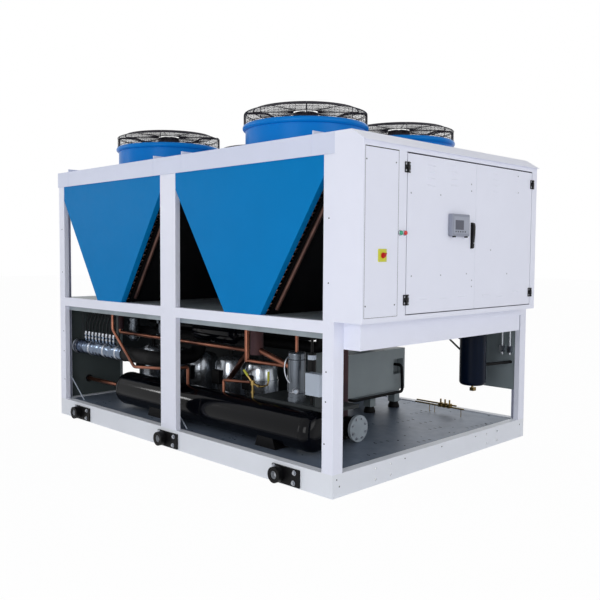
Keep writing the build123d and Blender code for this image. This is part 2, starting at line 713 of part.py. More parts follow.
def receiver_saddles():
    """The two feet of the receiver, wider at the floor."""
    half, foot, top = SADDLE_LENGTH / 2, SADDLE_LENGTH / 2 + 35, FLOOR_TOP + SADDLE_HEIGHT
    outline = [(-foot, FLOOR_TOP), (foot, FLOOR_TOP), (half, top), (-half, top)]
    for x in SADDLE_PLACES:
        saddle = Pos(x, RECEIVER_Y, 0) * prism(outline, -SADDLE_WIDTH / 2, SADDLE_WIDTH / 2)
        yield saddle - rod(
            (x - SADDLE_LENGTH, RECEIVER_Y, RECEIVER_Z), (x + SADDLE_LENGTH, RECEIVER_Y, RECEIVER_Z), RECEIVER_RADIUS
        )


def suction_header():
    """The header with its row of stubs."""
    pieces = [rod((HEADER_START, HEADER_Y, HEADER_Z), (HEADER_END, HEADER_Y, HEADER_Z), HEADER_RADIUS)]
    for x in stub_places():
        pieces.append(
            rod((x, HEADER_Y, HEADER_Z), (x, HEADER_Y, HEADER_Z + HEADER_RADIUS + STUB_HEIGHT), STUB_RADIUS)
        )
    return joined(pieces)


def stub_places():
    """Where the stubs stand along the header."""
    return [STUB_FIRST + index * STUB_PITCH for index in range(HEADER_STUBS)]


def distributor_tubes():
    """The thin tubes from the stubs up to the tray."""
    low = HEADER_Z + HEADER_RADIUS + STUB_HEIGHT
    rise = TRAY_UNDER - low
    for x in stub_places():
        path = [
            (x, HEADER_Y, low),
            (x, HEADER_Y, low + rise * 0.25),
            (x + STUB_PITCH * 0.6, HEADER_Y + STUB_PITCH * 0.4, low + rise * 0.6),
            (x + STUB_PITCH * 0.6, HEADER_Y + STUB_PITCH * 0.4, TRAY_UNDER),
        ]
        yield pipe(path, DISTRIBUTOR_RADIUS, 5 * DISTRIBUTOR_RADIUS)


def compressor(x):
    """A hermetic compressor shell."""
    shell = Pos(x, COMPRESSOR_Y, RAIL_TOP + COMPRESSOR_HEIGHT / 2) * Cylinder(COMPRESSOR_RADIUS, COMPRESSOR_HEIGHT)
    return fillet(shell.edges().filter_by(GeomType.CIRCLE), COMPRESSOR_DOME)


def suction_line():
    """The insulated pipe from the header to the manifold over the compressors, with its branches."""
    corner = COMPRESSOR_MIDDLE + COMPRESSOR_PITCH / 2
    trunk = pipe(
        [
            (HEADER_END, HEADER_Y, HEADER_Z),
            (corner, HEADER_Y, HEADER_Z),
            (corner, MANIFOLD_PIPE_Y, HEADER_Z),
            (corner, MANIFOLD_PIPE_Y, MANIFOLD_PIPE_Z),
        ],
        SUCTION_PIPE_RADIUS,
        SUCTION_PIPE_RADIUS * 1.7,
    )
    reach = 3 * BRANCH_RADIUS
    manifold = rod(
        (COMPRESSOR_PLACES[0] - reach, MANIFOLD_PIPE_Y, MANIFOLD_PIPE_Z),
        (COMPRESSOR_PLACES[-1] + reach, MANIFOLD_PIPE_Y, MANIFOLD_PIPE_Z),
        MANIFOLD_PIPE_RADIUS,
    )
    branches = [
        pipe(
            [(x, MANIFOLD_PIPE_Y, MANIFOLD_PIPE_Z), (x, COMPRESSOR_Y, MANIFOLD_PIPE_Z), (x, COMPRESSOR_Y, COMPRESSOR_TOP)],
            BRANCH_RADIUS,
            2.5 * BRANCH_RADIUS,
        )
        for x in COMPRESSOR_PLACES
    ]
    return joined([trunk, manifold] + branches)


def front_pipe():
    """The copper pipe that slants across the front of the header and drops into the receiver."""
    low = HEADER_Z - HEADER_RADIUS - FRONT_PIPE_RADIUS
    drop_x = COMPRESSOR_MIDDLE + COMPRESSOR_PITCH
    path = [
        (HEADER_END - 70, FRONT_PIPE_Y, TRAY_UNDER),
        (HEADER_END - 70, FRONT_PIPE_Y, HEADER_Z + 200),
        (HEADER_END + 240, FRONT_PIPE_Y, low),
        (drop_x, RECEIVER_Y - 150, low + 25),
        (drop_x, RECEIVER_Y, low + 25),
        (drop_x, RECEIVER_Y, RECEIVER_Z + RECEIVER_RADIUS),
    ]
    return pipe(path, FRONT_PIPE_RADIUS, 40)


def receiver_outlet():
    """The pipe from the receiver out through the end panel."""
    return rod((-X1, RECEIVER_Y, RECEIVER_Z), (RECEIVER_START, RECEIVER_Y, RECEIVER_Z), OUTLET_PIPE_RADIUS)


def liquid_line():
    """The copper network of the right bay: the liquid pipe, its drop, and the slanting connection below."""
    x, y = DROP_PIPE_X, PLANT_PIPE_Y
    drop_end = LIQUID_PIPE_Z - 80
    separator_x, separator_y = SEPARATOR_PLACE
    pieces = [
        pipe([(RISER_X, y, RISER_END), (RISER_X, y, LIQUID_PIPE_Z), (x, y, LIQUID_PIPE_Z)], LIQUID_PIPE_RADIUS, 20),
        rod((x, y, drop_end), (x, y, TRAY_UNDER), DROP_PIPE_RADIUS),
        rod((x, y, LIQUID_PIPE_Z - 30), (COMPRESSOR_PLACES[-2], COMPRESSOR_Y - 50, COMPRESSOR_TOP - 220), DIAGONAL_RADIUS),
        rod((x, y, drop_end + 8), (separator_x, separator_y, drop_end + 8), LIQUID_PIPE_RADIUS),
    ]
    network = joined(pieces)
    return network - compressor(COMPRESSOR_PLACES[-2]) - separator()


def discharge_pipe():
    """The thick copper pipe from the wide riser down to the separator."""
    separator_x, separator_y = SEPARATOR_PLACE
    start = (WIDE_RISER_X, PLANT_PIPE_Y, WIDE_RISER_END + 42)
    run = rod(start, (separator_x, separator_y, WIDE_RISER_END - 68), DIAGONAL_RADIUS)
    return run - separator() - wide_riser()


def separator_vent():
    """The pipe from the top of the separator to the tray."""
    x, y = SEPARATOR_PLACE
    return rod((x, y, SHELF_TOP + SEPARATOR_BASE + SEPARATOR_HEIGHT), (x, y, TRAY_UNDER), LIQUID_PIPE_RADIUS)


def valve_feed():
    """The small copper pipe along the top of the receiver."""
    top = RECEIVER_Z + RECEIVER_RADIUS
    feed = pipe(
        [(VALVE_X - 20, RECEIVER_Y, top + 105), (VALVE_X - 310, RECEIVER_Y, top + 85), (VALVE_X - 310, RECEIVER_Y, top)],
        FRONT_PIPE_RADIUS - 1,
        30,
    )
    return feed - receiver_valve()


VALVE_X = 655.0 - SHELF_LEG


def receiver_valve():
    """The brass service valve on the receiver with its slanting stem."""
    top = RECEIVER_Z + RECEIVER_RADIUS
    body = block(VALVE_X - 20, VALVE_X + 20, RECEIVER_Y - 18, RECEIVER_Y + 18, top + 80, top + 125)
    stem = rod((VALVE_X, RECEIVER_Y, top + 110), (VALVE_X - 65, RECEIVER_Y - 30, top + 195), 9)
    return joined([rod((VALVE_X, RECEIVER_Y, top), (VALVE_X, RECEIVER_Y, top + 90), 13), body, stem])


def risers():
    """The wide insulated risers that come down from the tray."""
    yield rod((RISER_X, PLANT_PIPE_Y, RISER_END), (RISER_X, PLANT_PIPE_Y, TRAY_UNDER), RISER_RADIUS)
    yield wide_riser()
    x, y, z = FLANGE_PLACE
    x -= FLANGE_BODY_LENGTH / 2
    yield rod((x, y, z), (x, y, TRAY_UNDER), FLANGE_RISER_RADIUS) - flange_body()


def wide_riser():
    """The wide riser of the right bay."""
    return rod((WIDE_RISER_X, PLANT_PIPE_Y, WIDE_RISER_END), (WIDE_RISER_X, PLANT_PIPE_Y, TRAY_UNDER), WIDE_RISER_RADIUS)


def separator():
    """The oil separator on its base."""
    x, y = SEPARATOR_PLACE
    low = SHELF_TOP + SEPARATOR_BASE
    body = Pos(x, y, low + SEPARATOR_HEIGHT / 2) * Cylinder(SEPARATOR_RADIUS, SEPARATOR_HEIGHT)
    body = fillet(body.edges().filter_by(GeomType.CIRCLE).group_by(Axis.Z)[-1], SEPARATOR_RADIUS / 4)
    return body + Pos(x, y, SHELF_TOP + SEPARATOR_BASE / 2) * Cylinder(SEPARATOR_RADIUS + 4, SEPARATOR_BASE)


def filter_drier():
    """The upright filter drier in its line."""
    x, y = FILTER_PLACE
    low, high = FILTER_SPAN
    return joined([rod((x, y, SHELF_TOP), (x, y, TRAY_UNDER), 9), rod((x, y, low), (x, y, high), FILTER_RADIUS)])


def terminal_box():
    """The terminal box in front of the shelf."""
    width, depth, height = TERMINAL_BOX_SIZE
    x, y, z = TERMINAL_BOX_PLACE
    return block(x - width / 2, x + width / 2, y, y + depth, z, z + height)


def plant_supports():
    """The rails, the shelf with its legs, the hangers, the beams and the stays."""
    for side in MIRROR_SIDES:
        y = COMPRESSOR_Y + side * COMPRESSOR_RADIUS * 0.7
        half = COMPRESSOR_RAIL_WIDTH / 2
        reach = COMPRESSOR_RADIUS + half
        yield block(COMPRESSOR_PLACES[0] - reach, COMPRESSOR_PLACES[-1] + reach, y - half, y + half, FLOOR_TOP, RAIL_TOP)
    (x0, x1), (y0, y1) = SHELF_SPAN, SHELF_DEPTH
    leg_y = RECEIVER_Y + RECEIVER_RADIUS + SHELF_LEG / 2
    box_x, box_y, box_z = TERMINAL_BOX_PLACE
    box_back = box_y + TERMINAL_BOX_SIZE[1]
    pieces = [block(x0, x1, y0, y1, SHELF_TOP - SHELF_SHEET, SHELF_TOP)]
    for x in (x0, x1 - SHELF_LEG):
        for y in (leg_y, y1 - SHELF_LEG):
            pieces.append(block(x, x + SHELF_LEG, y, y + SHELF_LEG, FLOOR_TOP, SHELF_TOP))
    pieces.append(block(box_x - 35, box_x + 35, box_back, box_back + HANGER_SHEET, SHELF_TOP - SHELF_SHEET, box_z + 80))
    yield joined(pieces)
    for x in (stub_places()[0] - STUB_PITCH, stub_places()[-1] + STUB_PITCH):
        yield block(
            x - HANGER_WIDTH / 2, x + HANGER_WIDTH / 2, HEADER_Y - HANGER_SHEET / 2, HEADER_Y + HANGER_SHEET / 2,
            HEADER_Z + HEADER_RADIUS, TRAY_UNDER,
        )
    x, y, z = ENCLOSURE_START
    length, width, _ = ENCLOSURE_SIZE
    for x0 in (x + 10, x + length - 140):
        for y0, y1 in ((y + 45, y + 405), (y + width - 90, y + width)):
            yield block(x0, x0 + 130, y0, y1, FLOOR_TOP + PAD_HEIGHT, z)
    for x0, side in ((-X1 + POST_DEPTH, 1), (-MIDDLE_POST_WIDTH / 2 + SHEET + STAY_RADIUS, 1)):
        yield stay(x0)


def stay(x):
    """A thin slanting stay from the post down to the floor."""
    y = -Y1 + POST_DEPTH + 2 * STAY_RADIUS
    bar = rod((x, y, FLOOR_TOP + 240), (x + 170, y + 55, FLOOR_TOP - 5), STAY_RADIUS)
    return bar - floor_plate()


def enclosure():
    """The grey equipment box with a recess in its end."""
    x, y, z = ENCLOSURE_START
    length, width, height = ENCLOSURE_SIZE
    depth, across, tall = RECESS_SIZE
    y0, z0 = y + RECESS_START[0], z + RECESS_START[1]
    box = block(x, x + length, y, y + width, z, z + height)
    return box - block(x + length - depth, x + length, y0, y0 + across, z0, z0 + tall)


def enclosure_pads():
    """The rubber pads under the equipment box."""
    x, y, _ = ENCLOSURE_START
    length, width, _ = ENCLOSURE_SIZE
    for x0 in (x + 25, x + length - 125):
        for y0 in (y + 315, y + width - 90):
            yield block(x0, x0 + 100, y0, y0 + 90, FLOOR_TOP, FLOOR_TOP + PAD_HEIGHT)


def enclosure_hose():
    """The hose that loops out of the recess and back under the box."""
    x, y, z = ENCLOSURE_START
    length = ENCLOSURE_SIZE[0]
    depth, across, tall = RECESS_SIZE
    out = x + length + 35
    y0, z0 = y + RECESS_START[0] + across / 2, z + RECESS_START[1] + tall * 0.6
    low = z - HOSE_RADIUS - 2
    return pipe(
        [
            (x + length - depth, y0, z0), (out, y0, z0), (out, y0 + 15, low), (out, y + 25, low),
            (x + length - 150, y + 25, low),
        ],
        HOSE_RADIUS,
        28,
    )


def flange_body():
    """The pipe behind the blind flange, on its foot."""
    x, y, z = FLANGE_PLACE
    end = x - FLANGE_THICKNESS
    body = rod((end - FLANGE_BODY_LENGTH, y, z), (end, y, z), FLANGE_BODY_RADIUS)
    foot = block(end - FLANGE_BODY_LENGTH * 0.7, end - FLANGE_BODY_LENGTH * 0.3, y - FLANGE_BODY_RADIUS * 0.8,
                 y + FLANGE_BODY_RADIUS * 0.8, FLOOR_TOP, z)
    return body + foot


def blind_flange():
    """The round closing flange."""
    x, y, z = FLANGE_PLACE
    return rod((x - FLANGE_THICKNESS, y, z), (x, y, z), FLANGE_RADIUS)


def oil_tank():
    """The upright tank with rounded ends, hung from the tray by its neck."""
    x, y = TANK_PLACE
    shell = rod((x, y, TANK_BOTTOM), (x, y, TANK_TOP), TANK_RADIUS)
    shell = fillet(shell.edges().filter_by(GeomType.CIRCLE), TANK_DOME)
    return joined([shell, rod((x, y, TANK_TOP - 10), (x, y, TRAY_UNDER), 22)])


def tank_lines():
    """The two hoses from the tank up to the tray and the one to the valve panel."""
    x, y = TANK_PLACE
    tank = oil_tank()
    yield rod((x, y - 50, TANK_BOTTOM + 205), (x - 520, y - 60, TRAY_UNDER), 7) - tank - above_tray()
    yield pipe(
        [(x, y - 10, TANK_BOTTOM + 305), (x - 175, y - 50, TANK_BOTTOM + 395), (x - 250, y - 50, TRAY_UNDER)], 14, 50
    ) - tank - above_tray()
    yield rod((x + 30, y, TANK_BOTTOM + 150), (x + 130, VALVE_PANEL_Y, TANK_BOTTOM + 155), HOSE_RADIUS) - tank - behind_panel()


def above_tray():
    """The space from the tray's underside up, for trimming a slanting pipe."""
    return block(-X1, X1, -Y1, Y1, TRAY_UNDER, MID_RAIL_TOP + POST_DEPTH)


def behind_panel():
    """The space from the valve panel's face back, for trimming a slanting pipe."""
    x0, x1 = VALVE_PANEL_SPAN
    return block(x0, x1, VALVE_PANEL_Y, Y1, VALVE_PANEL_BOTTOM, TRAY_UNDER)


def tank_drain():
    """The brass drain valve under the tank."""
    x, y = TANK_PLACE
    z = TANK_BOTTOM
    return joined([rod((x, y, z - 45), (x, y, z), 9), block(x - 16, x + 16, y - 12, y + 28, z - 48, z - 22)])


def valve_panel():
    """The grey panel at the back of the right bay."""
    x0, x1 = VALVE_PANEL_SPAN
    return block(x0, x1, VALVE_PANEL_Y, VALVE_PANEL_Y + SHEET, VALVE_PANEL_BOTTOM, TRAY_UNDER)


def panel_valves():
    """The two upright lines with their valves on the panel."""
    for x in (VALVE_PANEL_SPAN[1] - 97, VALVE_PANEL_SPAN[1] - 32):
        line = rod((x, VALVE_PANEL_Y - 16, VALVE_PANEL_BOTTOM + 270), (x, VALVE_PANEL_Y - 16, TRAY_UNDER), 9)
        body = block(x - 16, x + 16, VALVE_PANEL_Y - 34, VALVE_PANEL_Y, VALVE_PANEL_BOTTOM + 290, VALVE_PANEL_BOTTOM + 340)
        yield line + body


def valve_row():
    """The low brass valve row on its thin stands."""
    x0, x1 = VALVE_ROW_SPAN
    y, z = VALVE_ROW_Y, VALVE_ROW_Z
    pieces = [rod((x0, y, z), (x1, y, z), 6), rod((x0, y + 20, z + 14), (x1 - 80, y + 20, z + 14), 6)]
    for x in VALVE_PLACES:
        pieces.append(block(x - 12, x + 12, y - 10, y + 30, z - 10, z + 24))
        pieces.append(rod((x, y + 10, z + 20), (x, y + 10, z + 55), 7))
    for x in (x0 + 140, x0 + 190, x1 - 25):
        pieces.append(rod((x, y, FLOOR_TOP), (x, y, z), 2.5))
    return joined(pieces)


def lifting_lug(x, side):
    """A bolted lug plate with a lifting eye."""
    face = side * Y1
    eye_x = x - LUG_LENGTH / 2 + LUG_EYE_INSET
    z = LUG_BOTTOM + LUG_HEIGHT / 2
    plate = block(x - LUG_LENGTH / 2, x + LUG_LENGTH / 2, face, face + side * LUG_PLATE, LUG_BOTTOM,
                  LUG_BOTTOM + LUG_HEIGHT)
    eye = rod((eye_x, face, z), (eye_x, face + side * (LUG_PLATE + LUG_EYE_REACH), z), LUG_EYE_RADIUS)
    bore = rod((eye_x, face, z), (eye_x, face + side * 2 * LUG_EYE_RADIUS, z), LUG_EYE_BORE)
    return plate + eye - bore


def build():
    """Writes every node."""
    os.makedirs("parts", exist_ok=True)
    save("base_frame", base_frame())
    save("floor_plate", floor_plate())
    save("corner_posts", *[corner_post(sx, sy) for sx in MIRROR_SIDES for sy in MIRROR_SIDES])
    save("middle_posts", *[middle_post(sy) for sy in MIRROR_SIDES])
    save("mid_rails", *mid_rails())
    save("mid_deck", mid_deck())
    save("fan_deck", fan_deck())
    save("lifting_lugs", *[lifting_lug(x, side) for x in (-LUG_SPREAD, 0, LUG_SPREAD) for side in MIRROR_SIDES])
    places = fan_places()
    save("fan_rings", *[fan_ring(*place) for place in places.values()])
    save("fan_grilles", *[fan_grille(*place) for place in places.values()])
    for name, place in places.items():
        save(f"fan_rotor_{name}", fan_rotor(*place))
    sides = [(bay, leg) for bay in MIRROR_SIDES for leg in MIRROR_SIDES]
    save("v_panels", *[v_panel(bay, side) for bay, side in sides])
    save("coils", *[coil(bay, leg) for bay, leg in sides])
    save("coil_cheeks", *[coil_cheek(bay, leg) for bay, leg in sides])
    save("coil_manifolds", *[coil_manifold(bay, leg) for bay, leg in sides])
    save("cabinet_shell", cabinet_shell())
    save("cabinet_roof", cabinet_roof())
    save("cabinet_panel", cabinet_panel())
    save("cabinet_apron", cabinet_apron())
    save("door_near", door(-1))
    save("door_far", door(1))
    save("hinges_fixed", *[half for side in MIRROR_SIDES for half in hinge_half(side, False)])
    save("hinges_near_leaf", *hinge_half(-1, True))
    save("hinges_far_leaf", *hinge_half(1, True))
    save("controller", controller())
    save("handle_base", handle_base())
    save("door_handle", door_handle())
    save("switch_plate", switch_plate())
    save("switch_knob", switch_knob())
    save("indicator_lamps", *lamps())
    save("end_panel", end_panel())
    save("valve_panel", valve_panel())
    save("panel_valves", *panel_valves())
    save("receiver", receiver())
    save("receiver_saddles", *receiver_saddles())
    save("suction_header", suction_header())
    save("distributor_tubes", *distributor_tubes())
    save("compressors", *[compressor(x) for x in COMPRESSOR_PLACES])
    save("suction_line", suction_line())
    save("copper_pipes", front_pipe(), receiver_outlet(), liquid_line(), discharge_pipe(), separator_vent(), valve_feed())
    save("receiver_valve", receiver_valve())
    save("risers", *risers())
    save("separator", separator())
    save("filter_drier", filter_drier())
    save("terminal_box", terminal_box())
    save("plant_supports", *plant_supports())
    save("enclosure", enclosure())
    save("enclosure_pads", *enclosure_pads())
    save("hoses", enclosure_hose(), *tank_lines())
    save("flange_body", flange_body())
    save("blind_flange", blind_flange())
    save("oil_tank", oil_tank())
    save("tank_drain", tank_drain())
    save("valve_row", valve_row())


build()
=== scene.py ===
"""The looks of an air-cooled compressor rack, built round its fixed frame.

Metres, +Z up. The front faces -Y and the electrical cabinet is on the +X end. Every piece is
made in the rack's own frame, rides on a body of the frame and keeps its object at the origin.
"""

import json
import logging
import math
import random
from dataclasses import dataclass
from enum import Enum
from typing import Any, Iterable, Sequence

import bmesh
import bpy
from mathutils import Euler, Matrix, Vector

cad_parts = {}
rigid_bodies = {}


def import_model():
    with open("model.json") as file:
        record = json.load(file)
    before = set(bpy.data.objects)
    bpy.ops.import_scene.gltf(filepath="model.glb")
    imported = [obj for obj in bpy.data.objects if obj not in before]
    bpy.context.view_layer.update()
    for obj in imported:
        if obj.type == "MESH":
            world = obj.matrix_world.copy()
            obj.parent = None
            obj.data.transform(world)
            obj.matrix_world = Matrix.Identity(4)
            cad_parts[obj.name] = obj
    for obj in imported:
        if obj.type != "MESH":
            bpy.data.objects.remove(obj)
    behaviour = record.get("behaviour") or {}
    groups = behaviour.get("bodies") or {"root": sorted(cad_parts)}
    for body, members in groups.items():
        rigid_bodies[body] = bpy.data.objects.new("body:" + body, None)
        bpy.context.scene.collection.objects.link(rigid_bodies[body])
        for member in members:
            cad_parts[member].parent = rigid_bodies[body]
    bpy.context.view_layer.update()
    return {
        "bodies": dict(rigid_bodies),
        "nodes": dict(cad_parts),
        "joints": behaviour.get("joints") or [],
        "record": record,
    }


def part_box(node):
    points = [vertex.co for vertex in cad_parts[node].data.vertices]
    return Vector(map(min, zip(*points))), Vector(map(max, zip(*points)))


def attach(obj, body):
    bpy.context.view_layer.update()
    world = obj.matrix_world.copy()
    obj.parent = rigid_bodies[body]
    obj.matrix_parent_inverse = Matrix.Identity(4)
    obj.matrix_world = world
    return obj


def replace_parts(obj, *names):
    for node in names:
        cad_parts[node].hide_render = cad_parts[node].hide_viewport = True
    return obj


LOG = logging.getLogger("rack")
FRAME_BODY = "frame"
FRONT, BACK = -1, 1
LEFT, RIGHT = -1, 1
TINY = 0.0004

Point = tuple[float, float, float]
Tint = tuple[int, int, int]


def linear(tint: Tint) -> tuple[float, float, float, float]:
    """Turn a display colour into a linear one.

    Args:
        tint: Red, green and blue from 0 to 255.

    Returns:
        The linear colour with full alpha.
    """
    parts = [part / 255 for part in tint]
    red, green, blue = (p / 12.92 if p <= 0.04045 else ((p + 0.055) / 1.055) ** 2.4 for p in parts)
    return red, green, blue, 1.0


class Pattern(Enum):
    """The fine structure of a surface."""

    PEEL = "sprayed paint"
    SPANGLE = "zinc crystals"
    FOIL = "crumpled foil"
    FINS = "fin edges"
    BRUSHED = "drawn metal"
    FOAM = "closed foam"
    MOULDED = "moulded grain"
    LENS = "two lamp lenses"


@dataclass(frozen=True)
class Finish:
    """A finish on a physical shader, with its patterns in object coordinates.

    Attributes:
        name: The finish's name.
        tint: Its display colour.
        roughness: How dull it is.
        metallic: 1 for bare metal.
        coat: The share of a clear coat.
        shine: How strongly a surface that isn't metal reflects.
        pattern: Its fine structure.
        grain: Grains of the fine structure per metre.
        relief: Depth of the fine structure in metres.
        patches: How far large patches leave the tint.
        second: The colour that patches tend to.
        slot: The name of a material slot in the record; not used.
    """

    name: str
    tint: Tint
    roughness: float = 0.4
    metallic: float = 0.0
    coat: float = 0.0
    shine: float = 0.3
    pattern: Pattern = Pattern.PEEL
    grain: float = 260.0
    relief: float = 0.00012
    patches: float = 0.12
    second: Tint | None = None
    slot: str = "white_paint"

    def made(self) -> bpy.types.Material:
        """Return the material, built on first use."""
        return bpy.data.materials.get(self.label) or Shader(self).material

    @property
    def label(self) -> str:
        """The material's name, which none of the frame's own materials has."""
        return f"finish_{self.name}"


class Shader:
    """The node tree of one finish."""

    PATCH_SCALE = 5.0
    STRETCH = 0.04
    LAMP_SPLIT = -0.769

    def __init__(self, finish: Finish) -> None:
        """Build the tree.

        Args:
            finish: The finish to build.
        """
        self.finish = finish
        self.material = bpy.data.materials.new(finish.label)
        self.material.use_nodes = True
        self.tree = self.material.node_tree
        self.tree.nodes.clear()
        self.base = self.node("ShaderNodeBsdfPrincipled")
        output = self.node("ShaderNodeOutputMaterial")
        self.tree.links.new(self.base.outputs["BSDF"], output.inputs["Surface"])
        self.place = self.node("ShaderNodeTexCoord").outputs["Object"]
        self.base.inputs["Metallic"].default_value = finish.metallic
        self.base.inputs["Coat Weight"].default_value = finish.coat
        self.base.inputs["Coat Roughness"].default_value = 0.08
        self.base.inputs["Specular IOR Level"].default_value = finish.shine
        self.colour()
        self.surface()

    def node(self, kind: str, **settings: Any) -> bpy.types.Node:
        """Add a node with its settings."""
        node = self.tree.nodes.new(kind)
        for key, value in settings.items():
            setattr(node, key, value)
        return node

    def noise(self, scale: float, detail: float, stretch: Point = (1.0, 1.0, 1.0)) -> bpy.types.NodeSocket:
        """Add a noise in object coordinates.

        Args:
            scale: Grains per metre.
            detail: Octaves of finer noise.
            stretch: Factors on the three coordinates.

        Returns:
            The noise's factor.
        """
        mapping = self.node("ShaderNodeMapping")
        mapping.inputs["Scale"].default_value = stretch
        self.tree.links.new(self.place, mapping.inputs["Vector"])
        noise = self.node("ShaderNodeTexNoise")
        noise.inputs["Scale"].default_value = scale
        noise.inputs["Detail"].default_value = detail
        self.tree.links.new(mapping.outputs["Vector"], noise.inputs["Vector"])
        return noise.outputs["Fac"]

    def mixed(self, factor: bpy.types.NodeSocket, first: Any, second: Any) -> bpy.types.NodeSocket:
        """Mix two colours by a factor and return the result."""
        mix = self.node("ShaderNodeMix", data_type="RGBA")
        self.tree.links.new(factor, mix.inputs["Factor"])
        for label, value in (("A", first), ("B", second)):
            socket = next(s for s in mix.inputs if s.name == label and s.type == "RGBA")
            if isinstance(value, bpy.types.NodeSocket):
                self.tree.links.new(value, socket)
            else:
                socket.default_value = value
        return next(s for s in mix.outputs if s.type == "RGBA")

    def colour(self) -> None:
        """Colour the surface with soft patches of lighter and darker tint."""
        finish = self.finish
        tint = linear(finish.tint)
        other = linear(finish.second) if finish.second else tuple(c * 0.45 for c in tint[:3]) + (1.0,)
        spread = self.node("ShaderNodeMapRange")
        spread.inputs["From Min"].default_value = 0.35
        spread.inputs["From Max"].default_value = 0.7
        spread.inputs["To Max"].default_value = finish.patches
        self.tree.links.new(self.noise(self.PATCH_SCALE, 5.0), spread.inputs["Value"])
        result = self.mixed(spread.outputs["Result"], tint, other)
        if finish.pattern is Pattern.LENS:
            result = self.mixed(self.lamp_side(), linear((20, 150, 110)), linear((200, 25, 25)))
        self.tree.links.new(result, self.base.inputs["Base Color"])

    def lamp_side(self) -> bpy.types.NodeSocket:
        """Return 0 on the near lamp and 1 on the far one."""
        split = self.node("ShaderNodeSeparateXYZ")
        self.tree.links.new(self.place, split.inputs[0])
        past = self.node("ShaderNodeMath", operation="GREATER_THAN")
        past.inputs[1].default_value = self.LAMP_SPLIT
        self.tree.links.new(split.outputs["Y"], past.inputs[0])
        return past.outputs[0]

    def height(self) -> bpy.types.NodeSocket:
        """Return the height field of the pattern."""
        finish, pattern = self.finish, self.finish.pattern
        if pattern is Pattern.SPANGLE or pattern is Pattern.FOIL:
            cells = self.node("ShaderNodeTexVoronoi", feature="F1")
            cells.inputs["Scale"].default_value = finish.grain
            self.tree.links.new(self.place, cells.inputs["Vector"])
            return cells.outputs["Distance"]
        if pattern is Pattern.FINS:
            wave = self.node("ShaderNodeTexWave", bands_direction="Y")
            wave.inputs["Scale"].default_value = finish.grain
            self.tree.links.new(self.place, wave.inputs["Vector"])
            return wave.outputs["Fac"]
        if pattern is Pattern.BRUSHED:
            return self.noise(finish.grain, 3.0, (1.0, 1.0, self.STRETCH))
        return self.noise(finish.grain, 3.0)

    def surface(self) -> None:
        """Give the surface its relief and an uneven roughness."""
        height = self.height()
        bump = self.node("ShaderNodeBump")
        bump.inputs["Distance"].default_value = self.finish.relief
        self.tree.links.new(height, bump.inputs["Height"])
        self.tree.links.new(bump.outputs["Normal"], self.base.inputs["Normal"])
        rough = self.node("ShaderNodeMapRange")
        rough.inputs["To Min"].default_value = self.finish.roughness * 0.85
        rough.inputs["To Max"].default_value = min(1.0, self.finish.roughness * 1.15)
        self.tree.links.new(self.noise(self.PATCH_SCALE * 4, 4.0), rough.inputs["Value"])
        self.tree.links.new(rough.outputs["Result"], self.base.inputs["Roughness"])


WHITE = Finish("outer_white", (230, 233, 247), 0.42, patches=0.03)
# A darker copy of the outer white paint for the fan deck's fascia: painted shade where less light falls on it.
FASCIA_SHADED_WHITE = Finish("fascia_paint", (211, 217, 237), 0.42, patches=0.03)
# A slightly darker, greyer copy of the outer white paint for the base frame: painted shade.
BASE_SHADED_WHITE = Finish("base_paint", (226, 230, 238), 0.42, patches=0.05)
BLUE = Finish("panel_blue", (0, 121, 188), 0.5, shine=0.06, patches=0.06, slot="blue_paint")
RING_BLUE = Finish("ring_blue", (0, 122, 208), 0.3, shine=0.12, patches=0.1, slot="blue_paint")
GREY = Finish("grey_sheet", (124, 134, 138), 0.42, patches=0.2, slot="grey_paint")
ENCLOSURE_GREY = Finish("box_grey", (150, 160, 164), 0.42, shine=0.2, patches=0.15, slot="grey_paint")
DARK_GREY = Finish("inner_panel", (70, 78, 79), 0.5, shine=0.15, patches=0.2, slot="grey_paint")
DECK_GREY = Finish("deck_sheet", (150, 160, 166), 0.4, 0.2, shine=0.2, patches=0.5, slot="grey_paint")
STEEL_GREY = Finish("shelf_steel", (46, 50, 52), 0.45, shine=0.15, patches=0.3, slot="grey_paint")
ZINC = Finish("zinc_floor", (108, 120, 138), 0.42, 0.25, shine=0.2, pattern=Pattern.SPANGLE, grain=55.0,
              relief=0.00006, patches=0.45, slot="galvanised")
BRIGHT_ZINC = Finish("bright_zinc", (176, 180, 188), 0.28, 1.0, pattern=Pattern.SPANGLE, grain=160.0,
                     relief=0.00008, patches=0.5, slot="galvanised")
FOIL = Finish("pipe_foil", (106, 120, 140), 0.24, 1.0, pattern=Pattern.FOIL, grain=20.0, relief=0.006,
              patches=0.6, slot="galvanised")
BLACK_GLOSS = Finish("vessel_black", (4, 5, 10), 0.1, shine=0.14, patches=0.3, slot="black_paint")
BLACK = Finish("lug_black", (12, 12, 14), 0.45, shine=0.12, patches=0.3, slot="black_paint")
RUBBER = Finish("foam_black", (14, 14, 16), 0.6, shine=0.12, pattern=Pattern.FOAM, grain=420.0, relief=0.0004,
                patches=0.3, slot="insulation")
RISER = Finish("riser_brown", (56, 40, 46), 0.55, shine=0.12, pattern=Pattern.FOAM, grain=120.0, relief=0.0008,
               patches=0.5, second=(92, 60, 56), slot="riser_paint")
COPPER = Finish("aged_copper", (158, 104, 84), 0.38, 1.0, pattern=Pattern.BRUSHED, grain=300.0,
                patches=0.9, second=(88, 58, 50), slot="copper")
DULL_COPPER = Finish("dull_copper", (112, 84, 76), 0.5, 0.8, shine=0.1, pattern=Pattern.BRUSHED, grain=300.0,
                     patches=0.8, second=(56, 44, 44), slot="copper")
BRASS = Finish("brass", (160, 136, 84), 0.32, 1.0, patches=0.6, slot="brass")
LIME = Finish("stem_lime", (176, 178, 62), 0.4, shine=0.2, pattern=Pattern.MOULDED, patches=0.2, slot="brass")
SILVER = Finish("compressor_silver", (172, 178, 186), 0.22, 0.9, patches=0.55, slot="compressor_paint")
DARK_SILVER = Finish("separator_silver", (96, 102, 110), 0.24, 0.85, patches=0.6, slot="compressor_paint")
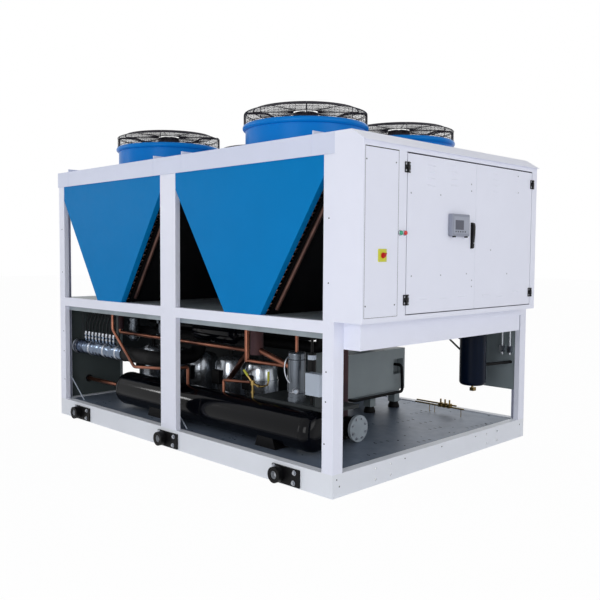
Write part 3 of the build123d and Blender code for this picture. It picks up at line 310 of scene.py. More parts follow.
DARK_TUBE = Finish("dark_tube", (22, 22, 26), 0.45, shine=0.15, patches=0.3, slot="capillary")
NAVY = Finish("tank_navy", (2, 14, 34), 0.3, shine=0.08, patches=0.3, slot="tank_paint")
GUARD = Finish("guard_wire", (46, 43, 52), 0.4, 0.3, shine=0.2, patches=0.4, slot="grille_steel")
ROTOR = Finish("rotor_grey", (30, 31, 35), 0.45, shine=0.2, pattern=Pattern.MOULDED, patches=0.3, slot="rotor")
FINS = Finish("coil_fins", (10, 12, 16), 0.6, shine=0.05, pattern=Pattern.FINS, grain=130.0, relief=0.0012,
              patches=0.6, second=(26, 24, 26), slot="coil_fins")
HAIRPIN = Finish("hairpin_copper", (140, 118, 112), 0.36, 1.0, patches=0.9, second=(52, 44, 46), slot="copper")
PLASTIC_BLACK = Finish("black_plastic", (14, 14, 17), 0.42, shine=0.2, pattern=Pattern.MOULDED, slot="black_plastic")
PLASTIC_GREY = Finish("grey_plastic", (142, 147, 162), 0.42, pattern=Pattern.MOULDED, slot="grey_plastic")
PLASTIC_RIM = Finish("bezel_plastic", (158, 163, 178), 0.4, pattern=Pattern.MOULDED, slot="grey_plastic")
PLASTIC_PALE = Finish("pale_plastic", (172, 182, 196), 0.4, pattern=Pattern.MOULDED, slot="grey_plastic")
CASTING = Finish("flange_casting", (160, 170, 178), 0.5, shine=0.2, patches=0.4, slot="grey_plastic")
BUSHING = Finish("bushing_zinc", (168, 172, 178), 0.32, 0.4, patches=0.3, slot="galvanised")
SCREEN = Finish("screen_glass", (74, 78, 94), 0.14, shine=0.4, relief=0.0, slot="grey_plastic")
YELLOW = Finish("yellow_plastic", (206, 208, 60), 0.4, pattern=Pattern.MOULDED, patches=0.05, slot="yellow_plastic")
RED = Finish("red_plastic", (186, 26, 30), 0.35, pattern=Pattern.MOULDED, patches=0.08, slot="red_plastic")
LENSES = Finish("lamp_lenses", (20, 150, 110), 0.18, coat=0.5, pattern=Pattern.LENS, slot="lamp_plastic")
SHADOW = Finish("dark_gap", (9, 9, 11), 0.9, shine=0.0, patches=0.2, slot="black_plastic")

NODE_FINISHES: dict[str, Finish] = {
    "base_frame": BASE_SHADED_WHITE, "floor_plate": ZINC, "corner_posts": WHITE, "middle_posts": WHITE, "mid_rails": WHITE,
    "mid_deck": DECK_GREY, "fan_deck": FASCIA_SHADED_WHITE, "lifting_lugs": BLACK, "fan_rings": RING_BLUE, "fan_grilles": GUARD,
    "v_panels": BLUE, "coils": FINS, "coil_cheeks": WHITE, "coil_manifolds": DULL_COPPER, "cabinet_shell": WHITE,
    "cabinet_roof": WHITE, "cabinet_panel": WHITE, "cabinet_apron": WHITE, "door_near": WHITE, "door_far": WHITE,
    "hinges_fixed": PLASTIC_BLACK, "hinges_near_leaf": PLASTIC_BLACK, "hinges_far_leaf": PLASTIC_BLACK,
    "controller": PLASTIC_GREY, "handle_base": PLASTIC_BLACK, "door_handle": PLASTIC_BLACK,
    "switch_plate": YELLOW, "switch_knob": RED, "indicator_lamps": LENSES, "end_panel": DARK_GREY,
    "valve_panel": GREY, "panel_valves": BRIGHT_ZINC, "receiver": BLACK_GLOSS, "receiver_saddles": BLACK,
    "suction_header": FOIL, "distributor_tubes": DARK_TUBE, "compressors": SILVER, "suction_line": RUBBER,
    "copper_pipes": COPPER, "receiver_valve": BRASS, "risers": RISER, "separator": DARK_SILVER,
    "filter_drier": BLACK, "terminal_box": PLASTIC_PALE, "plant_supports": STEEL_GREY, "enclosure": ENCLOSURE_GREY,
    "enclosure_pads": RUBBER, "hoses": RUBBER, "flange_body": BLACK, "blind_flange": CASTING,
    "oil_tank": NAVY, "tank_drain": BRASS, "valve_row": BRASS,
}


class Form:
    """A mesh under construction in the rack's frame."""

    SHARP = math.radians(35)

    def __init__(self) -> None:
        """Start with an empty mesh."""
        self.mesh = bmesh.new()

    def box(self, low: Sequence[float], high: Sequence[float]) -> "Form":
        """Add a box between two corners."""
        low, high = Vector(low), Vector(high)
        matrix = Matrix.Translation((low + high) / 2) @ Matrix.Diagonal((*(high - low), 1.0))
        bmesh.ops.create_cube(self.mesh, size=1.0, matrix=matrix)
        return self

    def rod(self, start: Sequence[float], end: Sequence[float], radius: float, sides: int = 20,
            end_radius: float | None = None) -> "Form":
        """Add a round bar or cone.

        Args:
            start: The centre of the first end.
            end: The centre of the other end.
            radius: The radius at the first end.
            sides: Sides of the bar.
            end_radius: The radius at the other end, if it differs.

        Returns:
            This form.
        """
        start, end = Vector(start), Vector(end)
        turn = (end - start).to_track_quat("Z", "Y").to_matrix().to_4x4()
        matrix = Matrix.Translation((start + end) / 2) @ turn
        bmesh.ops.create_cone(
            self.mesh, cap_ends=True, segments=sides, radius1=radius,
            radius2=radius if end_radius is None else end_radius, depth=(end - start).length, matrix=matrix,
        )
        return self

    def lathe(self, profile: Sequence[tuple[float, float]], start: Sequence[float], axis: Sequence[float],
              sides: int = 48) -> "Form":
        """Add a turned shape.

        Args:
            profile: Points as (distance along the axis, radius); ends at radius 0 meet the axis, others
                close into a ring.
            start: Where the axis starts.
            axis: The direction of the axis.
            sides: Sides of the shape.

        Returns:
            This form.
        """
        turn = Vector(axis).to_track_quat("Z", "Y").to_matrix().to_4x4()
        matrix = Matrix.Translation(Vector(start)) @ turn
        rings = []
        for along, radius in profile:
            if radius <= 0:
                rings.append([self.mesh.verts.new(matrix @ Vector((0, 0, along)))])
                continue
            angles = [math.tau * index / sides for index in range(sides)]
            spots = [Vector((radius * math.cos(a), radius * math.sin(a), along)) for a in angles]
            rings.append([self.mesh.verts.new(matrix @ spot) for spot in spots])
        loop = len(rings[0]) > 1 and len(rings[-1]) > 1
        for first, second in zip(rings, rings[1:] + rings[:1] if loop else rings[1:]):
            for index in range(sides):
                after = (index + 1) % sides
                corners = [first[index % len(first)], first[after % len(first)], second[after % len(second)],
                           second[index % len(second)]]
                unique = list(dict.fromkeys(corners))
                if len(unique) > 2:
                    self.mesh.faces.new(unique)
        return self

    def prism(self, outline: Sequence[tuple[float, float]], start: float, end: float) -> "Form":
        """Add an outline in the XZ plane drawn out along Y.

        Args:
            outline: The corners as (x, z).
            start: The lower y.
            end: The upper y.

        Returns:
            This form.
        """
        near = [self.mesh.verts.new((x, start, z)) for x, z in outline]
        far = [self.mesh.verts.new((x, end, z)) for x, z in outline]
        self.mesh.faces.new(near)
        self.mesh.faces.new(list(reversed(far)))
        for index in range(len(outline)):
            after = (index + 1) % len(outline)
            self.mesh.faces.new((near[after], near[index], far[index], far[after]))
        return self

    def made(self, name: str) -> bpy.types.Mesh:
        """Return the mesh with outward faces and smooth curved parts."""
        bmesh.ops.recalc_face_normals(self.mesh, faces=self.mesh.faces)
        mesh = bpy.data.meshes.new(name)
        self.mesh.to_mesh(mesh)
        self.mesh.free()
        mesh.shade_smooth()
        mesh.set_sharp_from_angle(angle=self.SHARP)
        return mesh


def show(mesh: bpy.types.Mesh | Form, name: str, finish: Finish, body: str = FRAME_BODY, bevel: float = 0.0) -> bpy.types.Object:
    """Show a mesh as a piece of the rack.

    Args:
        mesh: The mesh or the form to show.
        name: The piece's name.
        finish: Its finish.
        body: The body that it rides on.
        bevel: The width of its rounded edges, or 0.

    Returns:
        The new object.
    """
    if isinstance(mesh, Form):
        mesh = mesh.made(name)
    mesh.materials.clear()
    mesh.materials.append(finish.made())
    piece = bpy.data.objects.new(name, mesh)
    bpy.context.scene.collection.objects.link(piece)
    if bevel:
        edges = piece.modifiers.new("Edges", "BEVEL")
        edges.width = bevel
        edges.segments = 2
        edges.limit_method = "ANGLE"
        edges.harden_normals = True
    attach(piece, body)
    LOG.info("%s: %d faces", name, len(mesh.polygons))
    return piece


@dataclass(frozen=True)
class Spot:
    """A place for a small repeated thing.

    Attributes:
        place: Where it sits.
        facing: Where its own Z axis points.
        size: A factor on its size.
        along: Where its own X axis points, if that matters.
    """

    place: Sequence[float]
    facing: Sequence[float] = (0.0, 0.0, 1.0)
    size: float = 1.0
    along: Sequence[float] | None = None

    def turn(self) -> Euler:
        """Return the turn that brings the thing's own axes to the spot's."""
        facing = Vector(self.facing).normalized()
        if self.along is None:
            return facing.to_track_quat("Z", "Y").to_euler()
        across = facing.cross(Vector(self.along)).normalized()
        return Matrix((across.cross(facing), across, facing)).transposed().to_euler()


def spots_mesh(name: str, spots: Iterable[Spot]) -> bpy.types.Mesh:
    """Make a mesh of loose points that carry a turn and a size.

    Args:
        name: The mesh's name.
        spots: The places.

    Returns:
        The mesh with its turn and size attributes.
    """
    spots = list(spots)
    mesh = bpy.data.meshes.new(name)
    mesh.from_pydata([tuple(spot.place) for spot in spots], [], [])
    turns = [part for spot in spots for part in spot.turn()]
    mesh.attributes.new("turn", "FLOAT_VECTOR", "POINT").data.foreach_set("vector", turns)
    mesh.attributes.new("size", "FLOAT", "POINT").data.foreach_set("value", [spot.size for spot in spots])
    return mesh


class Growth:
    """A geometry node tree with named inputs, built in code."""

    KINDS = {float: "NodeSocketFloat", int: "NodeSocketInt", Vector: "NodeSocketVector",
             bpy.types.Material: "NodeSocketMaterial", bpy.types.Object: "NodeSocketObject"}

    def __init__(self, name: str, inputs: dict[str, Any]) -> None:
        """Start a tree.

        Args:
            name: The tree's name.
            inputs: Each input's name with its default value, or its class where there is none.
        """
        self.group = bpy.data.node_groups.new(name, "GeometryNodeTree")
        face = self.group.interface
        face.new_socket("Geometry", in_out="INPUT", socket_type="NodeSocketGeometry")
        for label, value in {**inputs, "Finish": bpy.types.Material}.items():
            kind = value if isinstance(value, type) else type(value)
            socket = face.new_socket(label, in_out="INPUT", socket_type=self.KINDS[kind])
            if not isinstance(value, type):
                socket.default_value = value
        face.new_socket("Geometry", in_out="OUTPUT", socket_type="NodeSocketGeometry")
        self.given = self.node("NodeGroupInput", {}).outputs
        self.end = self.node("NodeGroupOutput", {})

    def node(self, kind: str, links: dict[Any, Any], **settings: Any) -> bpy.types.Node:
        """Add a node.

        Args:
            kind: The node's class.
            links: What goes into each socket: an output socket or a plain value.
            **settings: Settings of the node.

        Returns:
            The node.
        """
        node = self.group.nodes.new(kind)
        for key, value in settings.items():
            setattr(node, key, value)
        for key, value in links.items():
            if isinstance(value, bpy.types.NodeSocket):
                self.group.links.new(value, node.inputs[key])
            else:
                node.inputs[key].default_value = value
        return node

    def named(self, name: str, kind: str) -> bpy.types.NodeSocket:
        """Return a point attribute by its name."""
        return self.node("GeometryNodeInputNamedAttribute", {"Name": name}, data_type=kind).outputs["Attribute"]

    def close(self, geometry: bpy.types.NodeSocket) -> "Growth":
        """Realize the instances, set the finish and end the tree."""
        real = self.node("GeometryNodeRealizeInstances", {"Geometry": geometry})
        dressed = self.node("GeometryNodeSetMaterial", {"Geometry": real.outputs[0], "Material": self.given["Finish"]})
        self.group.links.new(dressed.outputs[0], self.end.inputs[0])
        return self

    def grown(self, name: str, seed: bpy.types.Mesh, finish: Finish, **values: Any) -> bpy.types.Mesh:
        """Run the tree on a mesh.

        Args:
            name: The name of the result.
            seed: The mesh that the tree starts from.
            finish: The finish to set.
            **values: The inputs by name, with _ for a space.

        Returns:
            The plain mesh.
        """
        host = bpy.data.objects.new(name, seed)
        bpy.context.scene.collection.objects.link(host)
        modifier = host.modifiers.new("Growth", "NODES")
        modifier.node_group = self.group
        wanted = {key.replace("_", " "): value for key, value in values.items()}
        wanted["Finish"] = finish.made()
        for item in self.group.interface.items_tree:
            if item.in_out == "INPUT" and item.name in wanted:
                modifier[item.identifier] = wanted[item.name]
        graph = bpy.context.evaluated_depsgraph_get()
        result = bpy.data.meshes.new_from_object(host.evaluated_get(graph), depsgraph=graph)
        result.name = name
        bpy.data.objects.remove(host)
        return result


class Growths:
    """The trees that the rack's repeated things share, each made on first use."""

    _made: dict[str, Growth] = {}

    @classmethod
    def heads(cls) -> Growth:
        """Round or six-sided heads with a washer, on loose points."""
        if "heads" in cls._made:
            return cls._made["heads"]
        tree = Growth("fastener_heads", {"Sides": 6, "Radius": 0.008, "Height": 0.006, "Washer": 0.012, "Washer height": 0.0015})
        given = tree.given
        head = tree.node("GeometryNodeMeshCylinder", {"Vertices": given["Sides"], "Radius": given["Radius"], "Depth": given["Height"]})
        washer = tree.node("GeometryNodeMeshCylinder", {"Vertices": 16, "Radius": given["Washer"], "Depth": given["Washer height"]})
        half = tree.node("ShaderNodeMath", {0: given["Height"], 1: 0.5}, operation="MULTIPLY")
        lift = tree.node("ShaderNodeCombineXYZ", {"Z": half.outputs[0]})
        lifted = tree.node("GeometryNodeTransform", {"Geometry": head.outputs["Mesh"], "Translation": lift.outputs[0]})
        both = tree.node("GeometryNodeJoinGeometry", {})
        for part in (washer.outputs["Mesh"], lifted.outputs[0]):
            tree.group.links.new(part, both.inputs[0])
        cls._made["heads"] = cls.spread(tree, both.outputs[0])
        return cls._made["heads"]

    @classmethod
    def copies(cls) -> Growth:
        """Copies of a given object on loose points."""
        if "copies" not in cls._made:
            tree = Growth("copies_on_points", {"Pattern": bpy.types.Object})
            pattern = tree.node("GeometryNodeObjectInfo", {"Object": tree.given["Pattern"]})
            cls._made["copies"] = cls.spread(tree, pattern.outputs["Geometry"])
        return cls._made["copies"]

    @staticmethod
    def spread(tree: Growth, instance: bpy.types.NodeSocket) -> Growth:
        """Put an instance on every point, turned and sized by the point's attributes."""
        turn = tree.node("FunctionNodeEulerToRotation", {"Euler": tree.named("turn", "FLOAT_VECTOR")})
        placed = tree.node("GeometryNodeInstanceOnPoints", {
            "Points": tree.given["Geometry"], "Instance": instance, "Rotation": turn.outputs[0],
            "Scale": tree.named("size", "FLOAT"),
        })
        return tree.close(placed.outputs[0])

    @classmethod
    def hoops(cls) -> Growth:
        """Wire hoops round loose points, each as large as the point's size says."""
        if "hoops" not in cls._made:
            tree = Growth("wire_hoops", {"Wire": 0.0015, "Corners": 64})
            hoop = tree.node("GeometryNodeCurvePrimitiveCircle", {"Resolution": tree.given["Corners"], "Radius": 1.0})
            placed = tree.node("GeometryNodeInstanceOnPoints", {
                "Points": tree.given["Geometry"], "Instance": hoop.outputs["Curve"], "Scale": tree.named("size", "FLOAT"),
            })
            real = tree.node("GeometryNodeRealizeInstances", {"Geometry": placed.outputs[0]})
            cls._made["hoops"] = tree.close(cls.wired(tree, real.outputs[0]))
        return cls._made["hoops"]

    @classmethod
    def spokes(cls) -> Growth:
        """A bent wire repeated round an upright axis."""
        if "spokes" not in cls._made:
            tree = Growth("wire_spokes", {"Wire": 0.0015, "Count": 48, "Centre": Vector((0.0, 0.0, 0.0))})
            given = tree.given
            line = tree.node("GeometryNodeMeshLine", {"Count": given["Count"], "Start Location": given["Centre"],
                                                      "Offset": (0.0, 0.0, 0.0)})
            index = tree.node("GeometryNodeInputIndex", {})
            step = tree.node("ShaderNodeMath", {0: math.tau, 1: given["Count"]}, operation="DIVIDE")
            angle = tree.node("ShaderNodeMath", {0: index.outputs[0], 1: step.outputs[0]}, operation="MULTIPLY")
            turn = tree.node("ShaderNodeCombineXYZ", {"Z": angle.outputs[0]})
            rotation = tree.node("FunctionNodeEulerToRotation", {"Euler": turn.outputs[0]})
            curve = tree.node("GeometryNodeMeshToCurve", {"Mesh": given["Geometry"]})
            placed = tree.node("GeometryNodeInstanceOnPoints", {
                "Points": line.outputs["Mesh"], "Instance": curve.outputs[0], "Rotation": rotation.outputs[0],
            })
            real = tree.node("GeometryNodeRealizeInstances", {"Geometry": placed.outputs[0]})
            cls._made["spokes"] = tree.close(cls.wired(tree, real.outputs[0]))
        return cls._made["spokes"]

    @staticmethod
    def wired(tree: Growth, curve: bpy.types.NodeSocket) -> bpy.types.NodeSocket:
        """Turn curves into wires of the tree's Wire radius."""
        section = tree.node("GeometryNodeCurvePrimitiveCircle", {"Resolution": 5, "Radius": tree.given["Wire"]})
        return tree.node("GeometryNodeCurveToMesh", {"Curve": curve, "Profile Curve": section.outputs["Curve"],
                                                     "Fill Caps": True}).outputs[0]


def heads(name: str, spots: Iterable[Spot], finish: Finish, body: str = FRAME_BODY, sides: int = 6, radius: float = 0.008,
          height: float = 0.006, washer: float = 0.012) -> bpy.types.Object:
    """Show fastener heads on a body.

    Args:
        name: The piece's name.
        spots: Where the heads sit.
        finish: Their finish.
        body: The body that they ride on.
        sides: 6 for bolts, more for rivets.
        radius: The radius of a head.
        height: The height of a head.
        washer: The radius of the washer.

    Returns:
        The new object.
    """
    mesh = Growths.heads().grown(name, spots_mesh(name, spots), finish, Sides=sides, Radius=radius, Height=height,
                                 Washer=max(washer, radius * 0.9))
    return show(mesh, name, finish, body)


def copies(name: str, pattern: Form, spots: Iterable[Spot], finish: Finish, body: str = FRAME_BODY) -> bpy.types.Object:
    """Show copies of a form on a body.

    Args:
        name: The piece's name.
        pattern: The form, made about the origin and facing +Z.
        spots: Where the copies sit.
        finish: Their finish.
        body: The body that they ride on.

    Returns:
        The new object.
    """
    source = bpy.data.objects.new(name + "_pattern", pattern.made(name + "_pattern"))
    bpy.context.scene.collection.objects.link(source)
    mesh = Growths.copies().grown(name, spots_mesh(name, spots), finish, Pattern=source)
    bpy.data.objects.remove(source)
    return show(mesh, name, finish, body)


def tube(name: str, points: Sequence[Sequence[float]], radius: float, finish: Finish, body: str = FRAME_BODY) -> bpy.types.Object:
    """Show a smooth tube along points.

    Args:
        name: The piece's name.
        points: The control points of its line.
        radius: Its radius.
        finish: Its finish.
        body: The body that it rides on.

    Returns:
        The new object.
    """
    curve = bpy.data.curves.new(name, "CURVE")
    curve.dimensions = "3D"
    curve.bevel_depth = radius
    curve.bevel_resolution = 3
    curve.use_fill_caps = True
    spline = curve.splines.new("NURBS")
    spline.points.add(len(points) - 1)
    for target, point in zip(spline.points, points):
        target.co = (*point, 1.0)
    spline.use_endpoint_u = True
    spline.order_u = 3
    spline.resolution_u = 6
    host = bpy.data.objects.new(name, curve)
    bpy.context.scene.collection.objects.link(host)
    graph = bpy.context.evaluated_depsgraph_get()
    mesh = bpy.data.meshes.new_from_object(host.evaluated_get(graph), depsgraph=graph)
    bpy.data.objects.remove(host)
    mesh.shade_smooth()
    return show(mesh, name, finish, body)


@dataclass
class Studio:
    """The pale floor, the even light and the camera at the photograph's angle."""

    place: Point = (4.4287, -4.2898, 1.4115)
    target: Point = (0.0, 0.0, 1.055)
    roll: float = math.radians(0.292)
    lens: float = 44.78
    shift: tuple[float, float] = (0.0347, -0.0038)
    floor_half: float = 40.0
    paper: float = 0.97
    sky: float = 0.5
    key_power: float = 94.0
    fill_power: float = 72.0
    strip_power: float = 22.0

    def camera(self) -> None:
        """Set the camera."""
        data = bpy.data.cameras.new("view")
        data.lens = self.lens
        data.shift_x, data.shift_y = self.shift
        data.clip_end = 200.0
        camera = bpy.data.objects.new("view", data)
        direction = Vector(self.target) - Vector(self.place)
        turn = direction.to_track_quat("-Z", "Y").to_matrix().to_4x4()
        camera.matrix_world = Matrix.Translation(self.place) @ turn @ Matrix.Rotation(self.roll, 4, "Z")
        bpy.context.scene.collection.objects.link(camera)
        bpy.context.scene.camera = camera

    @staticmethod
    def shown(tree: bpy.types.NodeTree) -> bpy.types.NodeSocket:
        """Return 1 for the rays that show a background, to the camera, in gloss or through glass."""
        path = tree.nodes.new("ShaderNodeLightPath")
        result = path.outputs["Is Camera Ray"]
        for label in ("Is Glossy Ray", "Is Transmission Ray"):
            larger = tree.nodes.new("ShaderNodeMath")
            larger.operation = "MAXIMUM"
            tree.links.new(result, larger.inputs[0])
            tree.links.new(path.outputs[label], larger.inputs[1])
            result = larger.outputs[0]
        return result

    def floor(self) -> None:
        """Lay the pale floor, which shows white and keeps some of the rack's shadow."""
        reach = self.floor_half
        mesh = bpy.data.meshes.new("floor")
        corners = [(-reach, -reach, 0), (reach, -reach, 0), (reach, reach, 0), (-reach, reach, 0)]
        mesh.from_pydata([(x, y, -TINY * 2) for x, y, _ in corners], [], [(0, 1, 2, 3)])
        material = bpy.data.materials.new("studio_floor")
        material.use_nodes = True
        tree = material.node_tree
        shader = tree.nodes["Principled BSDF"]
        shader.inputs["Base Color"].default_value = (0.9, 0.9, 0.92, 1.0)
        shader.inputs["Roughness"].default_value = 0.9
        paper = tree.nodes.new("ShaderNodeEmission")
        share = tree.nodes.new("ShaderNodeMath")
        share.operation = "MULTIPLY"
        share.inputs[1].default_value = self.paper
        tree.links.new(self.shown(tree), share.inputs[0])
        mix = tree.nodes.new("ShaderNodeMixShader")
        tree.links.new(share.outputs[0], mix.inputs[0])
        tree.links.new(shader.outputs[0], mix.inputs[1])
        tree.links.new(paper.outputs[0], mix.inputs[2])
        tree.links.new(mix.outputs[0], tree.nodes["Material Output"].inputs["Surface"])
        mesh.materials.append(material)
        floor = bpy.data.objects.new("floor", mesh)
        bpy.context.scene.collection.objects.link(floor)

    def world(self) -> None:
        """Light the rack evenly and show a white background to the camera and to gloss."""
        world = bpy.data.worlds.new("studio")
        bpy.context.scene.world = world
        world.use_nodes = True
        tree = world.node_tree
        background = tree.nodes["Background"]
        strength = tree.nodes.new("ShaderNodeMapRange")
        strength.inputs["To Min"].default_value = self.sky
        strength.inputs["To Max"].default_value = 1.0
        tree.links.new(self.shown(tree), strength.inputs["Value"])
        tree.links.new(strength.outputs["Result"], background.inputs["Strength"])
        background.inputs["Color"].default_value = (1.0, 1.0, 1.0, 1.0)

    def lamp(self, name: str, place: Point, size: float, power: float) -> None:
        """Hang a soft square lamp that points at the rack."""
        data = bpy.data.lights.new(name, "AREA")
        data.size = size
        data.energy = power
        lamp = bpy.data.objects.new(name, data)
        turn = (Vector((0.0, 0.0, 1.0)) - Vector(place)).to_track_quat("-Z", "Y").to_matrix().to_4x4()
        lamp.matrix_world = Matrix.Translation(place) @ turn
        bpy.context.scene.collection.objects.link(lamp)

    def build(self) -> None:
        """Build the whole studio."""
        self.camera()
        self.floor()
        self.world()
        self.lamp("key", (2.6, -6.0, 1.6), 2.6, self.key_power)
        self.lamp("end_fill", (7.0, -0.4, 2.2), 3.0, self.fill_power)
        self.lamp("back_fill", (-4.0, 6.0, 5.0), 4.0, self.fill_power)
        self.lamp("strip", (-4.6, -3.8, 2.2), 0.6, self.strip_power)
        view = bpy.context.scene.view_settings
        view.view_transform = "Standard"


class FrameDresser:
    """Gives the frame's own nodes their finishes."""

    def build(self, nodes: dict[str, bpy.types.Object]) -> None:
        """Dress every node.

        Args:
            nodes: The frame's nodes by name.
        """
        for name, node in nodes.items():
            finish = ROTOR if name.startswith("fan_rotor") else NODE_FINISHES[name]
            if not node.material_slots:
                node.data.materials.append(finish.made())
            for slot in node.material_slots:
                slot.material = finish.made()
            LOG.info("node %s: %s", name, finish.name)


@dataclass
class FanTop:
    """The wire guard, the ribbed motor on its arms and the moulded rotor of one fan."""

    name: str
    centre: Point
    rim: float
    radius: float = 0.423
    flat_radius: float = 0.362
    shoulder: float = 0.076
    height: float = 0.1
    frame_wire: float = 0.003
    fine_wire: float = 0.001
    outer_hoops: tuple[float, float, int] = (0.306, 0.415, 14)
    inner_hoops: tuple[float, float, int] = (0.1, 0.285, 9)
    side_hoops: int = 4
    frame_spokes: int = 8
    fine_spokes: int = 72
    arm_radius: float = 0.0075
    arm_line: tuple[tuple[float, float], ...] = (
        (0.421, 0.004), (0.421, 0.05), (0.421, 0.09), (0.385, 0.09), (0.31, 0.09), (0.265, 0.088), (0.21, 0.055),
        (0.085, 0.02),
    )
    motor_radius: float = 0.088
    motor_low: float = 0.008
    motor_high: float = 0.1
    fin_count: int = 26
    hub_radius: float = 0.112
    tip_radius: float = 0.386
    blades: int = 7

    def level(self, reach: float) -> float:
        """Height of the guard's surface at a distance from its axis."""
        if reach <= self.flat_radius:
            return self.rim + self.height
        share = (reach - self.flat_radius) / (self.radius - self.flat_radius)
        return self.rim + self.height - share * (self.height - self.shoulder)

    def hoop(self, reach: float, level: float | None = None) -> Spot:
        """Return the spot of a hoop, on the guard's surface unless a level is given."""
        x, y, _ = self.centre
        return Spot((x, y, self.level(reach) if level is None else level), size=reach)

    def wires(self, kind: str, hoops: Sequence[Spot], spokes: int, wire: float) -> None:
        """Show hoops and bent spokes of one wire size.

        Args:
            kind: What the wires are.
            hoops: The hoops' spots.
            spokes: How many spokes go round.
            wire: The wire's radius.
        """
        x, y, _ = self.centre
        name = f"guard_{kind}_hoops_{self.name}"
        show(Growths.hoops().grown(name, spots_mesh(name, hoops), GUARD, Wire=wire), name, GUARD)
        line = [(self.motor_radius, 0, self.height), (self.flat_radius, 0, self.height),
                (self.radius, 0, self.shoulder), (self.radius, 0, 0.004)]
        seed = bpy.data.meshes.new("guard_spoke")
        seed.from_pydata(line, [(0, 1), (1, 2), (2, 3)], [])
        name = f"guard_{kind}_spokes_{self.name}"
        mesh = Growths.spokes().grown(name, seed, GUARD, Wire=wire, Count=spokes, Centre=(x, y, self.rim))
        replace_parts(show(mesh, name, GUARD), "fan_grilles")

    def guard(self) -> None:
        """Show the thick wires that carry the guard and the fine mesh between them."""
        frame = [self.hoop(self.radius, self.rim + 0.006), self.hoop(self.radius), self.hoop(self.radius - 0.011),
                 self.hoop(self.flat_radius), self.hoop(self.motor_radius)]
        self.wires("frame", frame, self.frame_spokes, self.frame_wire)
        fine = []
        for start, end, count in (self.outer_hoops, self.inner_hoops):
            fine += [self.hoop(start + (end - start) * index / (count - 1)) for index in range(count)]
        steps = self.side_hoops + 1
        fine += [self.hoop(self.radius, self.rim + self.shoulder * index / steps) for index in range(1, steps)]
        self.wires("mesh", fine, self.fine_spokes, self.fine_wire)

    def arms(self) -> None:
        """Show the two bent arms that carry the motor."""
        x, y, _ = self.centre
        for index in range(2):
            angle = math.pi / 4 + index * math.pi
            points = [(x + reach * math.cos(angle), y + reach * math.sin(angle), self.rim + level)
                      for reach, level in self.arm_line]
            tube(f"motor_arm_{self.name}_{index}", points, self.arm_radius, GUARD)

    def motor(self) -> None:
        """Show the motor's domed case with its ribs, and its shaft."""
        x, y, _ = self.centre
        low, high, reach = self.rim + self.motor_low, self.rim + self.motor_high, self.motor_radius
        rise = high - low
        profile = [(0, 0), (0, reach * 0.86), (rise * 0.7, reach * 0.84), (rise * 0.88, reach * 0.7),
                   (rise * 0.95, reach * 0.4), (rise * 0.96, 0)]
        form = Form().lathe(profile, (x, y, low), (0, 0, 1), 32)
        shaft_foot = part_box(f"fan_rotor_{self.name}")[1].z + 0.001
        form.rod((x, y, shaft_foot), (x, y, low), 0.022, 20)
        show(form, f"motor_{self.name}", GUARD)
        outline = [(0.015, 0), (reach * 0.99, 0), (reach * 0.99, rise * 0.72), (reach * 0.9, rise * 0.92),
                   (reach * 0.6, rise * 0.985), (0.015, rise)]
        fin = Form().prism(outline, -0.0016, 0.0016)
        spots = []
        for index in range(self.fin_count):
            angle = math.tau * index / self.fin_count
            spots.append(Spot((x, y, low), along=(math.cos(angle), math.sin(angle), 0.0)))
        copies(f"motor_ribs_{self.name}", fin, spots, GUARD)

    def rotor(self) -> None:
        """The hub and seven swept, twisted blades."""
        x, y, _ = self.centre
        low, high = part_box(f"fan_rotor_{self.name}")
        form = Form()
        depth = high.z - low.z
        form.lathe([(0.002, 0), (0.002, self.hub_radius * 0.6), (0.012, self.hub_radius * 0.97), (depth - 0.004, self.hub_radius),
                    (depth - 0.001, self.hub_radius * 0.9), (depth - 0.03, self.hub_radius * 0.8), (depth - 0.032, 0)],
                   (x, y, low.z), (0, 0, 1), 48)
        middle = (low.z + high.z) / 2
        for blade in range(self.blades):
            self.blade(form, Vector((x, y, middle)), math.tau * blade / self.blades)
        piece = show(form, f"rotor_{self.name}", ROTOR, f"fan_{self.name}")
        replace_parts(piece, f"fan_rotor_{self.name}")

    def blade(self, form: Form, centre: Vector, start: float) -> None:
        """Add one closed blade.

        Args:
            form: The form that the blade goes into.
            centre: The rotor's centre.
            start: The angle of the blade's root.
        """
        steps, across, thickness = 10, 8, 0.0035
        sheets: list[list[list[bmesh.types.BMVert]]] = [[], []]
        for step in range(steps + 1):
            share = step / steps
            reach = self.hub_radius * 0.97 + share * (self.tip_radius - self.hub_radius * 0.97)
            chord = 0.15 + 0.06 * math.sin(math.pi * share * 0.8)
            pitch = math.radians(36 - 16 * share)
            sweep = 0.32 * share * share
            rows: list[list[bmesh.types.BMVert]] = [[], []]
            for index in range(across + 1):
                along = index / across - 0.5
                camber = 0.014 * math.cos(math.pi * along)
                angle = start + sweep + along * chord * math.cos(pitch) / reach
                for side, sign in ((0, 0.5), (1, -0.5)):
                    rise = along * chord * math.sin(pitch) + camber - 0.007 + sign * thickness
                    rows[side].append(form.mesh.verts.new(centre + Vector((reach * math.cos(angle), reach * math.sin(angle), rise))))
            for side in (0, 1):
                sheets[side].append(rows[side])
        for side in (0, 1):
            for first, second in zip(sheets[side], sheets[side][1:]):
                for index in range(across):
                    form.mesh.faces.new((first[index], first[index + 1], second[index + 1], second[index]))
        upper, lower = sheets
        border = [(r, 0) for r in range(steps)] + [(steps, c) for c in range(across)]
        border += [(r, across) for r in range(steps, 0, -1)] + [(0, c) for c in range(across, 0, -1)]
        for (r0, c0), (r1, c1) in zip(border, border[1:] + border[:1]):
            form.mesh.faces.new((upper[r0][c0], upper[r1][c1], lower[r1][c1], lower[r0][c0]))

    def build(self) -> None:
        """Build the whole fan top."""
        self.guard()
        self.arms()
        self.motor()
        self.rotor()


